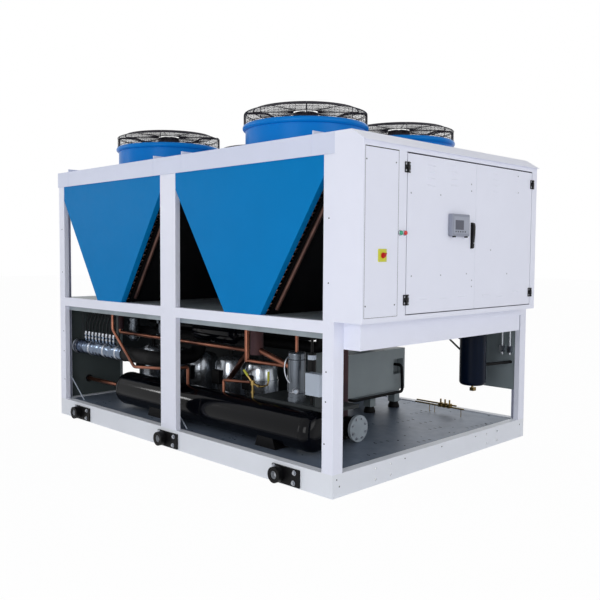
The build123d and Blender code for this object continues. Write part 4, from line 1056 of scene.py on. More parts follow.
@dataclass
class CoilEnds:
    """The end plates and hairpin bends at both ends of every coil slab."""

    foot: float = 0.175
    reach: float = 0.7135
    offset: float = 0.8055
    low: float = 1.03
    rise: float = 0.836
    thickness: float = 0.077
    end: float = 1.038
    bend_radius: float = 0.0125
    tube_radius: float = 0.0048
    stub: float = 0.007
    pairs: int = 19
    rows: int = 3

    def plate(self, form: Form, bay: int, leg: int, side: int) -> None:
        """Add the thin plate on one end of one slab."""
        centre = bay * self.offset
        outline = [(centre + leg * self.foot, self.low), (centre + leg * self.reach, self.low + self.rise),
                   (centre + leg * (self.reach - self.thickness), self.low + self.rise),
                   (centre + leg * (self.foot - self.thickness), self.low)]
        if leg < 0:
            outline.reverse()
        start, end = side * self.end, side * (self.end + 0.0015)
        form.prism(outline, min(start, end), max(start, end))

    def bends(self, bay: int, leg: int, side: int) -> Iterable[tuple[Vector, Vector]]:
        """Yield each bend's middle and the direction in which it joins its two tubes."""
        slope = Vector((leg * (self.reach - self.foot), 0, self.rise))
        along = slope.normalized()
        start = Vector((bay * self.offset + leg * self.foot, side * (self.end + 0.0015), self.low))
        for row in range(self.rows):
            inward = -leg * self.thickness * (row + 0.5) / self.rows
            for pair in range(self.pairs):
                share = (pair + 0.5 + 0.25 * (row % 2)) / (self.pairs + 0.5)
                yield start + Vector((inward, 0, 0)) + slope * share, along

    def build(self) -> None:
        """Build plates and bends."""
        plates = Form()
        sides = [(bay, leg, side) for bay in (LEFT, RIGHT) for leg in (LEFT, RIGHT) for side in (FRONT, BACK)]
        spots = []
        for bay, leg, side in sides:
            self.plate(plates, bay, leg, side)
            spots += [Spot(place, (0, side, 0), along=along) for place, along in self.bends(bay, leg, side)]
        show(plates, "coil_end_plates", SHADOW)
        copies("coil_bends", self.bend(), spots, HAIRPIN)

    def bend(self) -> Form:
        """Return one U-bend that stands up from the plane z = 0."""
        form = Form()
        sides, steps = 6, 6
        rings = []
        path = [(-self.bend_radius, 0.0, math.pi / 2)]
        for step in range(steps + 1):
            angle = math.pi - math.pi * step / steps
            path.append((self.bend_radius * math.cos(angle), self.stub + self.bend_radius * math.sin(angle), angle - math.pi / 2))
        path.append((self.bend_radius, 0.0, -math.pi / 2))
        for x, z, heading in path:
            normal = Vector((-math.sin(heading), 0, math.cos(heading)))
            ring = []
            for side in range(sides):
                angle = math.tau * side / sides
                spot = Vector((x, 0, z)) + self.tube_radius * (normal * math.cos(angle) + Vector((0, math.sin(angle), 0)))
                ring.append(form.mesh.verts.new(spot))
            rings.append(ring)
        for first, second in zip(rings, rings[1:]):
            for side in range(sides):
                after = (side + 1) % sides
                form.mesh.faces.new((first[side], first[after], second[after], second[side]))
        form.mesh.faces.new(rings[0])
        form.mesh.faces.new(rings[-1])
        return form


@dataclass
class Cabinet:
    """What shows on the electrical cabinet: louvres, rivets, screws, the display, hinges and handle."""

    face: float = 1.816
    panel_screws: tuple[tuple[float, float], ...] = ((-1.101, 1.935), (-0.838, 1.937), (-1.101, 1.128), (-0.838, 1.127))
    rivets_near: tuple[tuple[float, float], ...] = (
        (-0.692, 1.775), (-0.388, 1.78), (-0.043, 1.868), (-0.041, 1.825), (-0.679, 1.289), (-0.375, 1.29),
        (-0.084, 1.295), (-0.02, 1.251), (-0.022, 1.211),
    )
    rivets_far: tuple[tuple[float, float], ...] = ((0.557, 1.964), (0.562, 1.851), (0.209, 1.449), (0.429, 1.288))
    louvre_groups_near: tuple[tuple[float, float, float], ...] = ((-0.485, 1.832, 0.1), (-0.24, 1.848, 0.09))
    louvre_groups_far: tuple[tuple[float, float, float], ...] = ((0.256, 1.84, 0.07), (0.54, 1.852, 0.05))
    low_louvres_near: tuple[tuple[float, float], ...] = ((-0.552, 1.15), (-0.34, 1.15), (-0.13, 1.155))
    low_louvres_far: tuple[tuple[float, float], ...] = ((0.157, 1.15), (0.34, 1.14), (0.56, 1.165))
    hinge_levels: tuple[float, float] = (1.15, 1.92)
    hinge_leaf: float = 0.0265
    hinge_rise: float = 0.031
    lever_half: float = 0.012
    louvre_pitch: float = 0.04
    louvre_rows: int = 4
    housing_end: float = -0.107
    knob_radius: float = 0.0165
    knob_reach: float = 0.019

    def louvre(self, length: float) -> Form:
        """Return one pressed louvre that faces +Z, long along X."""
        form = Form()
        half, width, rise, steps = length / 2, 0.006, 0.0035, 8
        rows = []
        for step in range(steps + 1):
            share = step / steps * 2 - 1
            swell = math.sqrt(max(0.0, 1 - share ** 4))
            rows.append([form.mesh.verts.new((share * half, side * width * swell, lift * rise * swell - TINY))
                         for side, lift in ((-1, 0), (-0.4, 1), (0.6, 0.7), (1, 0))])
        for first, second in zip(rows, rows[1:]):
            for index in range(4):
                after = (index + 1) % 4
                form.mesh.faces.new((first[index], first[after], second[after], second[index]))
        bmesh.ops.remove_doubles(form.mesh, verts=form.mesh.verts, dist=TINY / 100)
        return form

    def louvres(self, body: str, groups: Sequence[tuple[float, float, float]], singles: Sequence[tuple[float, float]]) -> None:
        """Show the louvres of one leaf."""
        spots = []
        for y, z, length in groups:
            spots += [Spot((self.face, y, z + row * self.louvre_pitch), (1, 0, 0), length / 0.1) for row in range(self.louvre_rows)]
        spots += [Spot((self.face, y, z), (1, 0, 0), 1.1) for y, z in singles]
        copies(f"louvres_{body}", self.louvre(0.1), spots, WHITE, body)

    def rivets(self) -> None:
        """Show the rivets of the leaves and the screws of the panel."""
        def spots(places: Iterable[tuple[float, float]]) -> list[Spot]:
            return [Spot((self.face, y, z), (1, 0, 0)) for y, z in places]

        heads("rivets_near", spots(self.rivets_near), BRIGHT_ZINC, "near_door", 12, 0.0035, 0.002, 0.005)
        heads("rivets_far", spots(self.rivets_far), BRIGHT_ZINC, "far_door", 12, 0.0035, 0.002, 0.005)
        heads("panel_screws", spots(self.panel_screws), DARK_TUBE, FRAME_BODY, 12, 0.0032, 0.002, 0.0042)

    def display(self) -> None:
        """Show the display's bezel, screen, keys and latches on the housing."""
        low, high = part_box("controller")
        front, end = high.x, self.housing_end
        housing = Form().box((low.x, low.y, low.z), (front, end, high.z))
        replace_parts(show(housing, "display_housing", PLASTIC_GREY, "near_door", bevel=0.006), "controller")
        y0, y1 = low.y + 0.012, end - 0.012
        z0, z1 = low.z + 0.016, high.z - 0.016
        bezel = Form().box((front - 0.001, y0, z0), (front + 0.003, y1, z1))
        show(bezel, "display_bezel", PLASTIC_RIM, "near_door", bevel=0.0018)
        screen = Form().box((front, y0 + 0.014, 1.572), (front + 0.0042, y1 - 0.064, 1.631))
        show(screen, "display_screen", SCREEN, "near_door", bevel=0.001)
        keys = [Spot((front + 0.003, y0 + 0.02 + index * 0.026, z0 + 0.012), (1, 0, 0)) for index in range(5)]
        heads("display_keys", keys, PLASTIC_BLACK, "near_door", 12, 0.005, 0.0015, 0.0)
        latches = Form()
        for y in (low.y + 0.03, end - 0.03):
            latches.box((front - 0.016, y - 0.012, low.z - 0.008), (front - 0.002, y + 0.012, low.z + 0.01))
        show(latches, "display_latches", DARK_TUBE, "near_door", bevel=0.002)

    def hinges(self) -> None:
        """Show the hinges: two full plates each, their barrel halves and their screws."""
        rows = (("hinges_fixed", FRAME_BODY, -1), ("hinges_near_leaf", "near_door", 1), ("hinges_far_leaf", "far_door", 1))
        for node, body, half in rows:
            form, screws = Form(), []
            near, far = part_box("door_near")[0].y - 0.003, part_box("door_far")[1].y + 0.003
            sides = {"hinges_fixed": ((near, -1), (far, 1)), "hinges_near_leaf": ((near, 1),), "hinges_far_leaf": ((far, -1),)}
            for axis, toward in sides[node]:
                for level in self.hinge_levels:
                    self.hinge_half(form, axis, toward, level, half)
                    y = axis + toward * (self.hinge_leaf - 0.008)
                    screws += [Spot((self.face + 0.005, y, level + step), (1, 0, 0)) for step in (-0.019, 0.019)]
            piece = show(form, f"{node}_plates", PLASTIC_BLACK, body, bevel=0.0012)
            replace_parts(piece, node)
            heads(f"{node}_screws", screws, BRIGHT_ZINC, body, 12, 0.0048, 0.002, 0.0062)

    def hinge_half(self, form: Form, axis: float, toward: int, level: float, half: int) -> None:
        """Add one hinge half.

        Args:
            form: The form that it goes into.
            axis: The y of the pin.
            toward: Which way the plate reaches from the pin.
            level: The hinge's middle height.
            half: 1 where it has the upper barrel half, -1 for the lower.
        """
        reach, rise = self.hinge_leaf, self.hinge_rise
        for part in (-1, 1):
            start = axis + toward * (0.0035 if part == half else 0.0085)
            end = axis + toward * reach
            z0, z1 = level + min(0, part * rise), level + max(0, part * rise)
            form.box((self.face, min(start, end), z0), (self.face + 0.005, max(start, end), z1))
        pin = self.face + 0.008
        form.rod((pin, axis, level + half * 0.0005), (pin, axis, level + half * rise), 0.0068, 20)

    def handle(self) -> None:
        """Show the slim lever with its lock on its base."""
        low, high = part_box("handle_base")
        y, half = (low.y + high.y) / 2, self.lever_half
        base = Form().box((self.face, y - half - 0.002, low.z), (self.face + 0.004, y + half + 0.002, high.z))
        for side in (-1, 1):
            base.box((self.face, y + side * (half + 0.0008) - 0.0012, high.z - 0.024),
                     (self.face + 0.014, y + side * (half + 0.0008) + 0.0012, high.z - 0.006))
        piece = show(base, "handle_plate", PLASTIC_BLACK, "near_door", bevel=0.001)
        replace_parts(piece, "handle_base")
        back = self.face + 0.0055
        outline = [(back, low.z + 0.004), (back + 0.009, low.z + 0.002), (back + 0.011, low.z + 0.04),
                   (back + 0.015, low.z + 0.09), (back + 0.0165, high.z - 0.03), (back + 0.013, high.z - 0.008),
                   (back + 0.006, high.z - 0.001), (back, high.z - 0.004)]
        lever = Form().prism(outline, y - half, y + half)
        piece = show(lever, "lever_grip", PLASTIC_BLACK, "lever", bevel=0.0028)
        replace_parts(piece, "door_handle")
        lock = Form().rod((back + 0.008, y + 0.002, low.z + 0.036), (back + 0.0135, y + 0.002, low.z + 0.036), 0.0052, 16)
        show(lock, "lever_lock", BRIGHT_ZINC, "lever", bevel=0.0006)

    def switch(self) -> None:
        """Show the knob's grip mark, the plate's rim and the lamp bezels."""
        low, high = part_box("switch_knob")
        y = (low.y + high.y) / 2
        z, foot, reach = (low.z + high.z) / 2, low.x, self.knob_radius
        grip = Form().rod((foot, y, z), (foot + 0.007, y, z), reach, 32)
        corners = [(-reach * 1.3, 0.0), (0.0, -reach * 0.6), (reach * 1.3, 0.0), (0.0, reach * 0.6)]
        wedge = Form().prism(corners, 0.0, self.knob_reach - 0.007)
        turn = Matrix(((0, 1, 0, foot + 0.007), (0.707, 0, -0.707, y), (0.707, 0, 0.707, z), (0, 0, 0, 1)))
        wedge.mesh.transform(turn)
        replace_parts(show(grip, "knob_disc", RED, "knob", bevel=0.0015), "switch_knob")
        show(wedge, "knob_grip", RED, "knob", bevel=0.001)
        low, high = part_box("switch_plate")
        rim = Form().rod((high.x - 0.001, y, 1.41), (high.x + 0.0004, y, 1.41), 0.03, 32)
        show(rim, "switch_rim", YELLOW, bevel=0.0003)
        corners = [Spot((high.x, low.y + 0.008 + a * 0.056, low.z + 0.008 + b * 0.056), (1, 0, 0)) for a in (0, 1) for b in (0, 1)]
        heads("switch_screws", corners, BRIGHT_ZINC, FRAME_BODY, 12, 0.0025, 0.001, 0.0)
        low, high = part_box("indicator_lamps")
        bezels = Form()
        for y in (low.y + 0.013, high.y - 0.013):
            bezels.lathe([(0, 0.017), (0.005, 0.016), (0.006, 0.0132), (0.002, 0.0131)], (self.face, y, 1.54), (1, 0, 0), 24)
        show(bezels, "lamp_bezels", BRIGHT_ZINC)

    def gaps(self) -> None:
        """Show dark strips of painted shade above the panel and the doors, and the fine joint round the panel."""
        low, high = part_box("cabinet_panel")
        joint_and_shade = Form()
        # The strip along the panel's top is painted shade from its gap; the strips at its foot and sides are its dark
        # joint.
        joint_and_shade.box((self.face - 0.001, low.y, high.z - 0.005), (self.face + TINY, high.y, high.z))
        joint_and_shade.box((self.face - 0.001, low.y, low.z), (self.face + TINY, high.y, low.z + 0.002))
        for y in (low.y, high.y):
            joint_and_shade.box((self.face - 0.001, y - 0.001, low.z), (self.face + TINY, y + 0.001, high.z))
        show(joint_and_shade, "panel_joint", SHADOW)
        for node, body in (("door_near", "near_door"), ("door_far", "far_door")):
            # A dark strip of painted shade along each door's top edge, where the gap's shadow falls.
            low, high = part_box(node)
            gap_shade = Form().box((self.face - 0.0006, low.y + 0.002, high.z - 0.002), (self.face + TINY, high.y - 0.002, high.z))
            show(gap_shade, f"{body}_seal", SHADOW, body)
        low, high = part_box("door_near")
        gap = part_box("door_far")[0].y - high.y
        lip = Form().box((self.face - 0.006, high.y, low.z), (self.face - 0.0006, high.y + gap * 0.85, high.z - 0.004))
        show(lip, "middle_lip", WHITE, "near_door")

    def build(self) -> None:
        """Build everything on the cabinet."""
        self.louvres("near_door", self.louvre_groups_near, self.low_louvres_near)
        self.louvres("far_door", self.louvre_groups_far, self.low_louvres_far)
        self.rivets()
        self.display()
        self.hinges()
        self.handle()
        self.switch()
        self.gaps()


@dataclass
class FrameTrim:
    """Bolts on the lugs, screws and holes in the posts and rails, seams and the floor's holes."""

    length: float = 1.605
    width: float = 1.12
    lug_face: float = 1.132
    lug_spread: float = 1.228
    post_holes: tuple[tuple[float, float], ...] = ((1.548, 0.736), (1.546, 0.561), (1.537, 0.313), (1.56, 1.25), (1.56, 1.62))
    rail_holes: tuple[tuple[float, float], ...] = ((-1.083, 0.108), (-1.059, 0.064), (-0.424, 0.111), (-0.008, 0.114),
                                                   (0.42, 0.112), (1.06, 0.1))
    slot_rows: tuple[tuple[float, float, int], ...] = (
        (1.007, 0.294, 4), (1.293, -0.334, 3), (1.471, -0.09, 3), (1.307, 0.283, 3), (1.472, 0.524, 6), (1.523, -0.76, 2),
        (1.144, 0.396, 3), (0.9, 0.0, 3), (1.45, -0.603, 2), (0.6, 0.93, 4), (-0.2, 0.6, 4), (-0.9, 0.75, 4),
        (-1.35, 0.2, 3), (-0.6, -0.15, 3), (0.9, 0.62, 5), (-0.4, -1.05, 4), (0.5, -1.02, 5), (-1.2, -1.0, 3),
    )
    seed: int = 7
    loose_holes: int = 90

    def lugs(self) -> None:
        """Show the bolts of the lifting lugs and the welds of their bosses."""
        bolts = []
        for side in (FRONT, BACK):
            for x in (-self.lug_spread, 0.0, self.lug_spread):
                bolts += [Spot((x + dx, side * self.lug_face, z), (0, side, 0)) for dx, z in ((0.078, 0.094), (0.07, 0.03), (-0.1, 0.1))]
        heads("lug_bolts", bolts, BRIGHT_ZINC, FRAME_BODY, 6, 0.011, 0.009, 0.016)
        eyes = Form()
        for side in (FRONT, BACK):
            for x in (-self.lug_spread, 0.0, self.lug_spread):
                place = (x - 0.056, side * (self.width + 0.024), 0.062)
                eyes.lathe([(0, 0.0), (0.002, 0.009), (0.008, 0.0215), (0.026, 0.0245), (0.03, 0.0262), (0.026, 0.0268),
                            (0, 0.026), (-TINY, 0.0)], place, (0, side, 0), 24)
        show(eyes, "lug_bushes", BUSHING)

    def holes(self) -> None:
        """Show the small dark holes of posts and rails."""
        spots = []
        for side in (FRONT, BACK):
            for end in (LEFT, RIGHT):
                spots += [Spot((end * x, side * self.width, z), (0, side, 0)) for x, z in self.post_holes]
        for end in (LEFT, RIGHT):
            spots += [Spot((end * self.length, y, z), (end, 0, 0)) for y, z in self.rail_holes]
        heads("frame_holes", spots, SHADOW, FRAME_BODY, 12, 0.0045, TINY * 2, 0.0)
        screws = []
        for side in (FRONT, BACK):
            for x in (-1.56, -0.06, 0.06, 1.56):
                screws += [Spot((x, side * self.width, z), (0, side, 0)) for z in (0.16, 0.985, 1.015)]
        heads("frame_screws", screws, WHITE, FRAME_BODY, 12, 0.005, 0.002, 0.007)

    def floor(self) -> None:
        """Show the floor's slots and holes, in short rows and at random."""
        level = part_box("floor_plate")[1].z
        draw = random.Random(self.seed)
        slot = Form()
        slot.lathe([(0, 0), (0, 0.0035), (TINY, 0.0035), (TINY, 0)], (0, 0, 0), (0, 0, 1), 10)
        slot.box((-0.012, -0.003, 0), (0.012, 0.003, TINY))
        spots = []
        for x, y, count in self.slot_rows:
            spots += [Spot((x + index * 0.008, y + index * 0.055, level), (0, 0, 1)) for index in range(count)]
        copies("floor_slots", slot, spots, SHADOW)
        holes = [Spot((draw.uniform(-1.5, 1.55), draw.uniform(-1.08, 1.05), level), (0, 0, 1), draw.uniform(0.5, 1.1))
                 for _ in range(self.loose_holes)]
        heads("floor_holes", holes, SHADOW, FRAME_BODY, 10, 0.007, TINY, 0.0)

    def build(self) -> None:
        """Build all the trim."""
        self.lugs()
        self.holes()
        self.floor()


@dataclass
class Plant:
    """The refrigeration plant's fittings below the deck."""

    compressor_places: tuple[float, ...] = (-1.2, -0.84, -0.48, -0.12, 0.24)
    compressor_y: float = -0.42
    compressor_low: float = 0.19
    compressor_high: float = 0.6
    flange: Point = (1.2, -0.398, 0.23)
    receiver_shift: float = 0.08
    receiver_extra: float = 0.12
    shelf_span: tuple[float, float] = (0.64, 1.33)
    pipe_y: float = -0.8
    pipe_z: float = 0.735
    drop_x: float = 0.5
    separator_x: float = 0.975
    bend: float = 0.045
    shelf_depth: tuple[float, float] = (-0.855, -0.56)
    shelf_top: float = 0.44
    header_top: float = 0.66
    stay_places: tuple[float, float] = (-1.565, -0.084)

    def compressors(self) -> None:
        """Show smooth shells with a weld seam, feet and a terminal cover."""
        rise = self.compressor_high - self.compressor_low
        shells, covers, feet = Form(), Form(), Form()
        profile = [(0.002, 0), (0.002, 0.09), (0.02, 0.118), (0.05, 0.13), (rise * 0.62, 0.13), (rise * 0.625, 0.134), (rise * 0.65, 0.134),
                   (rise * 0.655, 0.128), (rise - 0.06, 0.126), (rise - 0.025, 0.112), (rise - 0.006, 0.075), (rise, 0.03), (rise, 0)]
        for x in self.compressor_places:
            shells.lathe(profile, (x, self.compressor_y, self.compressor_low), (0, 0, 1), 48)
            y = self.compressor_y - 0.13
            covers.box((x - 0.045, y - 0.035, self.compressor_low + 0.2), (x + 0.045, y + 0.02, self.compressor_low + 0.31))
            feet.box((x - 0.12, self.compressor_y - 0.12, self.compressor_low), (x + 0.12, self.compressor_y + 0.12, self.compressor_low + 0.008))
        piece = show(shells, "compressor_shells", SILVER)
        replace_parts(piece, "compressors")
        show(covers, "compressor_covers", BLACK, bevel=0.006)
        show(feet, "compressor_feet", BLACK, bevel=0.002)

    def header(self) -> None:
        """Show nuts and valves on the header's stubs, and bands round it."""
        low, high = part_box("suction_header")
        y = (low.y + high.y) / 2
        nut = Form()
        nut.rod((0, 0, 0), (0, 0, 0.014), 0.016, 6)
        nut.rod((0, 0, 0.014), (0, 0, 0.03), 0.013, 16)
        nut.rod((0, 0, -0.03), (0, 0, -0.014), 0.0145, 6)
        spots = [Spot((-1.4 + index * 0.056, y, high.z - 0.022), (0, 0, 1)) for index in range(9)]
        copies("header_nuts", nut, spots, BRIGHT_ZINC)
        bands = Form()
        for x in (-1.5, -1.28, -1.05, -0.86):
            bands.lathe([(0, 0.0632), (0.001, 0.0645), (0.017, 0.0645), (0.018, 0.0632)], (x, y, 0.6), (1, 0, 0), 40)
        show(bands, "header_bands", BRIGHT_ZINC)
        end = Form()
        end.lathe([(-0.004, 0), (-0.003, 0.03), (0.004, 0.05), (0.016, 0.061), (0.06, 0.0642), (0.062, 0.063), (0.062, 0)],
                  (low.x, y, 0.6), (1, 0, 0), 40)
        show(end, "header_cap", DARK_TUBE)
        rim = Form().lathe([(0, 0.063), (0.001, 0.0658), (0.006, 0.0658), (0.007, 0.063)], (low.x + 0.01, y, 0.6), (1, 0, 0), 40)
        show(rim, "header_rim", BRIGHT_ZINC)

    def receiver(self) -> None:
        """Show the receiver's smooth shell with its weld seams, and the stub, collar and grommet at its outlet end."""
        low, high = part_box("receiver")
        radius = (high.z - low.z) / 2
        y, z = (low.y + high.y) / 2, (low.z + high.z) / 2
        stub_start, low.x, high.x = low.x - 0.02, low.x + self.receiver_shift, high.x + self.receiver_extra
        length = high.x - low.x
        dome = 0.068
        stub = Form().rod((stub_start, y, z), (low.x + 0.004, y, z), 0.018, 24)
        show(stub, "receiver_stub", COPPER)
        collar = Form().rod((low.x - 0.03, y, z), (low.x + 0.002, y, z), 0.026, 24)
        show(collar, "receiver_collar", LIME, bevel=0.002)
        grommet = Form().rod((-1.6, y, z), (-1.594, y, z), 0.033, 32)
        show(grommet, "outlet_grommet", RUBBER, bevel=0.0015)
        profile = [(0.0, 0.0)]
        profile += [(dome * (1 - math.cos(a)), radius - dome + dome * math.sin(a)) for a in [math.pi / 2 * s / 8 for s in range(9)]]
        profile += [(dome + 0.01, radius), (length - dome - 0.01, radius)]
        profile += [(length - dome * (1 - math.cos(a)), radius - dome + dome * math.sin(a)) for a in [math.pi / 2 * s / 8 for s in range(8, -1, -1)]]
        profile += [(length, 0.0)]
        form = Form().lathe(profile, (low.x, y, z), (1, 0, 0), 72)
        piece = show(form, "receiver_shell", BLACK_GLOSS)
        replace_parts(piece, "receiver")
        seams = Form()
        for x in (low.x + dome + 0.012, high.x - dome - 0.012, low.x + length * 0.52):
            seams.lathe([(-0.004, radius - 0.0005), (0, radius + 0.0018), (0.004, radius - 0.0005)], (x, y, z), (1, 0, 0), 64)
        show(seams, "receiver_welds", BLACK_GLOSS)

    def flange_bolts(self) -> None:
        """Show eight bolts on the blind flange."""
        x, y, z = self.flange
        spots = [Spot((x, y + 0.07 * math.cos(a), z + 0.07 * math.sin(a)), (1, 0, 0)) for a in [math.tau * (i + 0.5) / 8 for i in range(8)]]
        heads("flange_bolts", spots, BRIGHT_ZINC, FRAME_BODY, 6, 0.008, 0.008, 0.011)

    def valve(self) -> None:
        """Show the service valve on the receiver: hexagons, stem, caps and its brass tail."""
        low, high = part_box("receiver_valve")
        x, y = high.x - 0.02, (low.y + high.y) / 2 + 0.0135
        foot = low.z
        form = Form()
        form.rod((x, y, foot), (x, y, foot + 0.085), 0.008, 16)
        form.rod((x, y, foot + 0.03), (x, y, foot + 0.046), 0.014, 6)
        form.rod((x, y, foot + 0.085), (x, y, foot + 0.12), 0.0155, 6)
        form.rod((x, y, foot + 0.105), (x - 0.034, y - 0.016, foot + 0.15), 0.009, 16)
        form.rod((x, y, foot + 0.1), (x + 0.07, y, foot + 0.085), 0.008, 16)
        form.rod((x + 0.05, y, foot + 0.09), (x + 0.068, y, foot + 0.086), 0.012, 6)
        piece = show(form, "service_valve", BRASS, bevel=0.001)
        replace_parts(piece, "receiver_valve")
        caps = Form()
        caps.rod((x - 0.034, y - 0.016, foot + 0.15), (x - 0.062, y - 0.029, foot + 0.19), 0.0085, 16)
        caps.rod((x + 0.095, y + 0.06, foot + 0.12), (x + 0.095, y + 0.06, foot + 0.185), 0.008, 16)
        show(caps, "valve_caps", LIME, bevel=0.001)
        tail = [(x + 0.07, y, foot + 0.085), (x + 0.095, y + 0.03, foot + 0.085), (x + 0.095, y + 0.06, foot + 0.1),
                (x + 0.095, y + 0.06, foot + 0.13)]
        tube("valve_tail", tail, 0.006, BRASS)

    def separator(self) -> None:
        """Show the separator's seams, sight glass and small pipes."""
        low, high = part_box("separator")
        x, y = (low.x + high.x) / 2, (low.y + high.y) / 2
        seams = Form()
        for level in (low.z + 0.06, high.z - 0.05):
            seams.lathe([(-0.004, 0.0585), (0, 0.0615), (0.004, 0.0585)], (x, y, level), (0, 0, 1), 40)
        show(seams, "separator_seams", BRIGHT_ZINC)
        out = Vector((0.62, -0.78, 0.0))
        place = Vector((x, y, low.z + 0.075)) + out * 0.058
        glass = Form()
        glass.lathe([(0, 0.0135), (0, 0.021), (0.014, 0.021), (0.016, 0.0185), (0.013, 0.0135)], place, out, 24)
        show(glass, "sight_rim", BRIGHT_ZINC)
        dial = Form().lathe([(0.0, 0.0), (0.0, 0.013), (0.013, 0.0125), (0.0135, 0)], place, out, 24)
        show(dial, "sight_glass", PLASTIC_PALE)
        tube("separator_loop", [(x - 0.02, y - 0.05, high.z - 0.03), (x - 0.025, y - 0.085, high.z - 0.04),
                                (x - 0.025, y - 0.09, low.z + 0.17), (x + 0.01, y - 0.075, low.z + 0.13)], 0.0042, BRIGHT_ZINC)
        low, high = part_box("filter_drier")
        x, y = (low.x + high.x) / 2, (low.y + high.y) / 2
        band = Form().rod((x, y, 0.735), (x, y, 0.765), 0.0278, 32)
        show(band, "filter_band", PLASTIC_PALE)

    def canister(self, name: str, x: float, y: float, low: float, high: float, radius: float) -> None:
        """Show an upright silver canister that hangs from the deck.

        Args:
            name: The piece's name.
            x: Its axis.
            y: Its axis.
            low: Its foot.
            high: The deck above it.
            radius: Its radius.
        """
        rise = high - low
        form = Form()
        form.lathe([(0, 0), (0, radius * 0.7), (0.02, radius), (rise * 0.75, radius), (rise * 0.75 + 0.02, radius * 0.7),
                    (rise * 0.75 + 0.02, 0.014), (rise, 0.014), (rise, 0)], (x, y, low), (0, 0, 1), 32)
        form.rod((x, y - radius - 0.02, low + 0.05), (x, y - radius + 0.006, low + 0.05), 0.012, 6)
        form.rod((x, y - radius - 0.016, low + 0.16), (x, y - radius + 0.006, low + 0.16), 0.015, 6)
        show(form, name, DARK_SILVER)

    def baffles(self, under: float) -> None:
        """Show the folded sheets that close the space behind the front plant.

        Args:
            under: The underside of the deck.
        """
        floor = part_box("floor_plate")[1].z
        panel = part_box("end_panel")[1]
        split = 0.43
        sheets = Form()
        sheets.box((panel.x - 0.004, panel.y - 0.002, split), (panel.x - 0.001, 0.0, under))
        sheets.box((panel.x - 0.001, panel.y - 0.002, split), (panel.x + 0.022, 0.0, split + 0.003))
        for start, end, low, high in ((-1.5, 0.32, split, under), (-0.95, 0.13, floor, split)):
            sheets.box((start, -0.03, low), (end, -0.027, high))
            sheets.box((start, -0.027, high - 0.003), (end, -0.005, high))
        show(sheets, "plant_baffles", STEEL_GREY)
        fold = Form().box((panel.x, panel.y - 0.026, floor), (panel.x + 0.006, panel.y - 0.001, under))
        show(fold, "end_panel_fold", GREY, bevel=0.001)

    def flange_body(self) -> None:
        """Show the pipe behind the blind flange, with its collar and a slim foot."""
        low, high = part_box("flange_body")
        x, y, z = self.flange
        reach = (high.y - low.y) / 2
        body = Form().lathe([(0, 0), (0, reach * 0.7), (0.03, reach * 0.96), (0.06, reach), (high.x - low.x, reach),
                             (high.x - low.x, 0)], (low.x, y, z), (1, 0, 0), 40)
        length = high.x - low.x
        body.lathe([(length - 0.024, reach * 0.9), (length - 0.024, reach * 1.2), (length - 0.001, reach * 1.2),
                    (length - 0.001, reach * 0.9)], (low.x, y, z), (1, 0, 0), 40)
        body.box((x - length * 0.6, y - 0.035, low.z), (x - length * 0.52, y + 0.035, z - reach * 0.7))
        body.box((x - length * 0.75, y - 0.06, low.z), (x - length * 0.4, y + 0.06, low.z + 0.006))
        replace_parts(show(body, "flange_pipe", BLACK, bevel=0.001), "flange_body")

    def pipework(self) -> None:
        """Show the bent copper pipes of both bays on the frame's routes."""
        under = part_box("mid_deck")[0].z
        y, z = self.pipe_y, self.pipe_z
        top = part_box("receiver")[1].z
        back = (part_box("receiver")[0].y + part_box("receiver")[1].y) / 2
        middle, drop, oil = self.compressor_places[3], self.drop_x, self.separator_x
        runs = (
            ("front_pipe", 0.0125, ((-0.84, -1.064, under), (-0.84, -1.064, 0.8), (-0.53, -1.064, 0.527),
                                    (middle, back - 0.15, 0.552), (middle, back, 0.552), (middle, back, top - 0.002))),
            ("liquid_pipe", 0.0155, ((-1.15, y, 0.79), (-1.15, y, z), (drop, y, z))),
            ("drop_pipe", 0.018, ((drop, y, z - 0.08), (drop, y, under))),
            ("slanting_pipe", 0.021, ((drop, y, z - 0.03), (middle, self.compressor_y - 0.05, 0.38))),
            ("link_pipe", 0.014, ((drop, y, z - 0.072), (oil, -0.78, z - 0.072))),
            ("discharge_pipe", 0.021, ((0.604, y, 0.757), (oil, -0.78, 0.647))),
            ("vent_pipe", 0.011, ((oil, -0.78, 0.765), (oil, -0.78, under))),
            ("feed_pipe", 0.011, ((0.595, back, top + 0.105), (0.305, back, top + 0.085), (0.305, back, top - 0.002))),
            ("outlet_pipe", 0.018, ((-1.605, back, 0.285), (-1.06, back, 0.285))),
        )
        for name, radius, corners in runs:
            piece = tube(name, self.bent(corners), radius, COPPER)
            if name == runs[0][0]:
                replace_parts(piece, "copper_pipes")

    def bent(self, corners: Sequence[Point]) -> list[Vector]:
        """Return the control points of a line that is straight but for its bends.

        Args:
            corners: The line's corners.

        Returns:
            The corners with a point before and after each bend.
        """
        spots = [Vector(corner) for corner in corners]
        line = [spots[0]]
        for before, corner, after in zip(spots, spots[1:], spots[2:]):
            for other in (before, after):
                step = min(self.bend, (other - corner).length * 0.4)
                line.append(corner + (other - corner).normalized() * step)
            line.insert(-1, corner)
        start, end = line[-1], spots[-1]
        return [*line, (start + end) / 2, end]

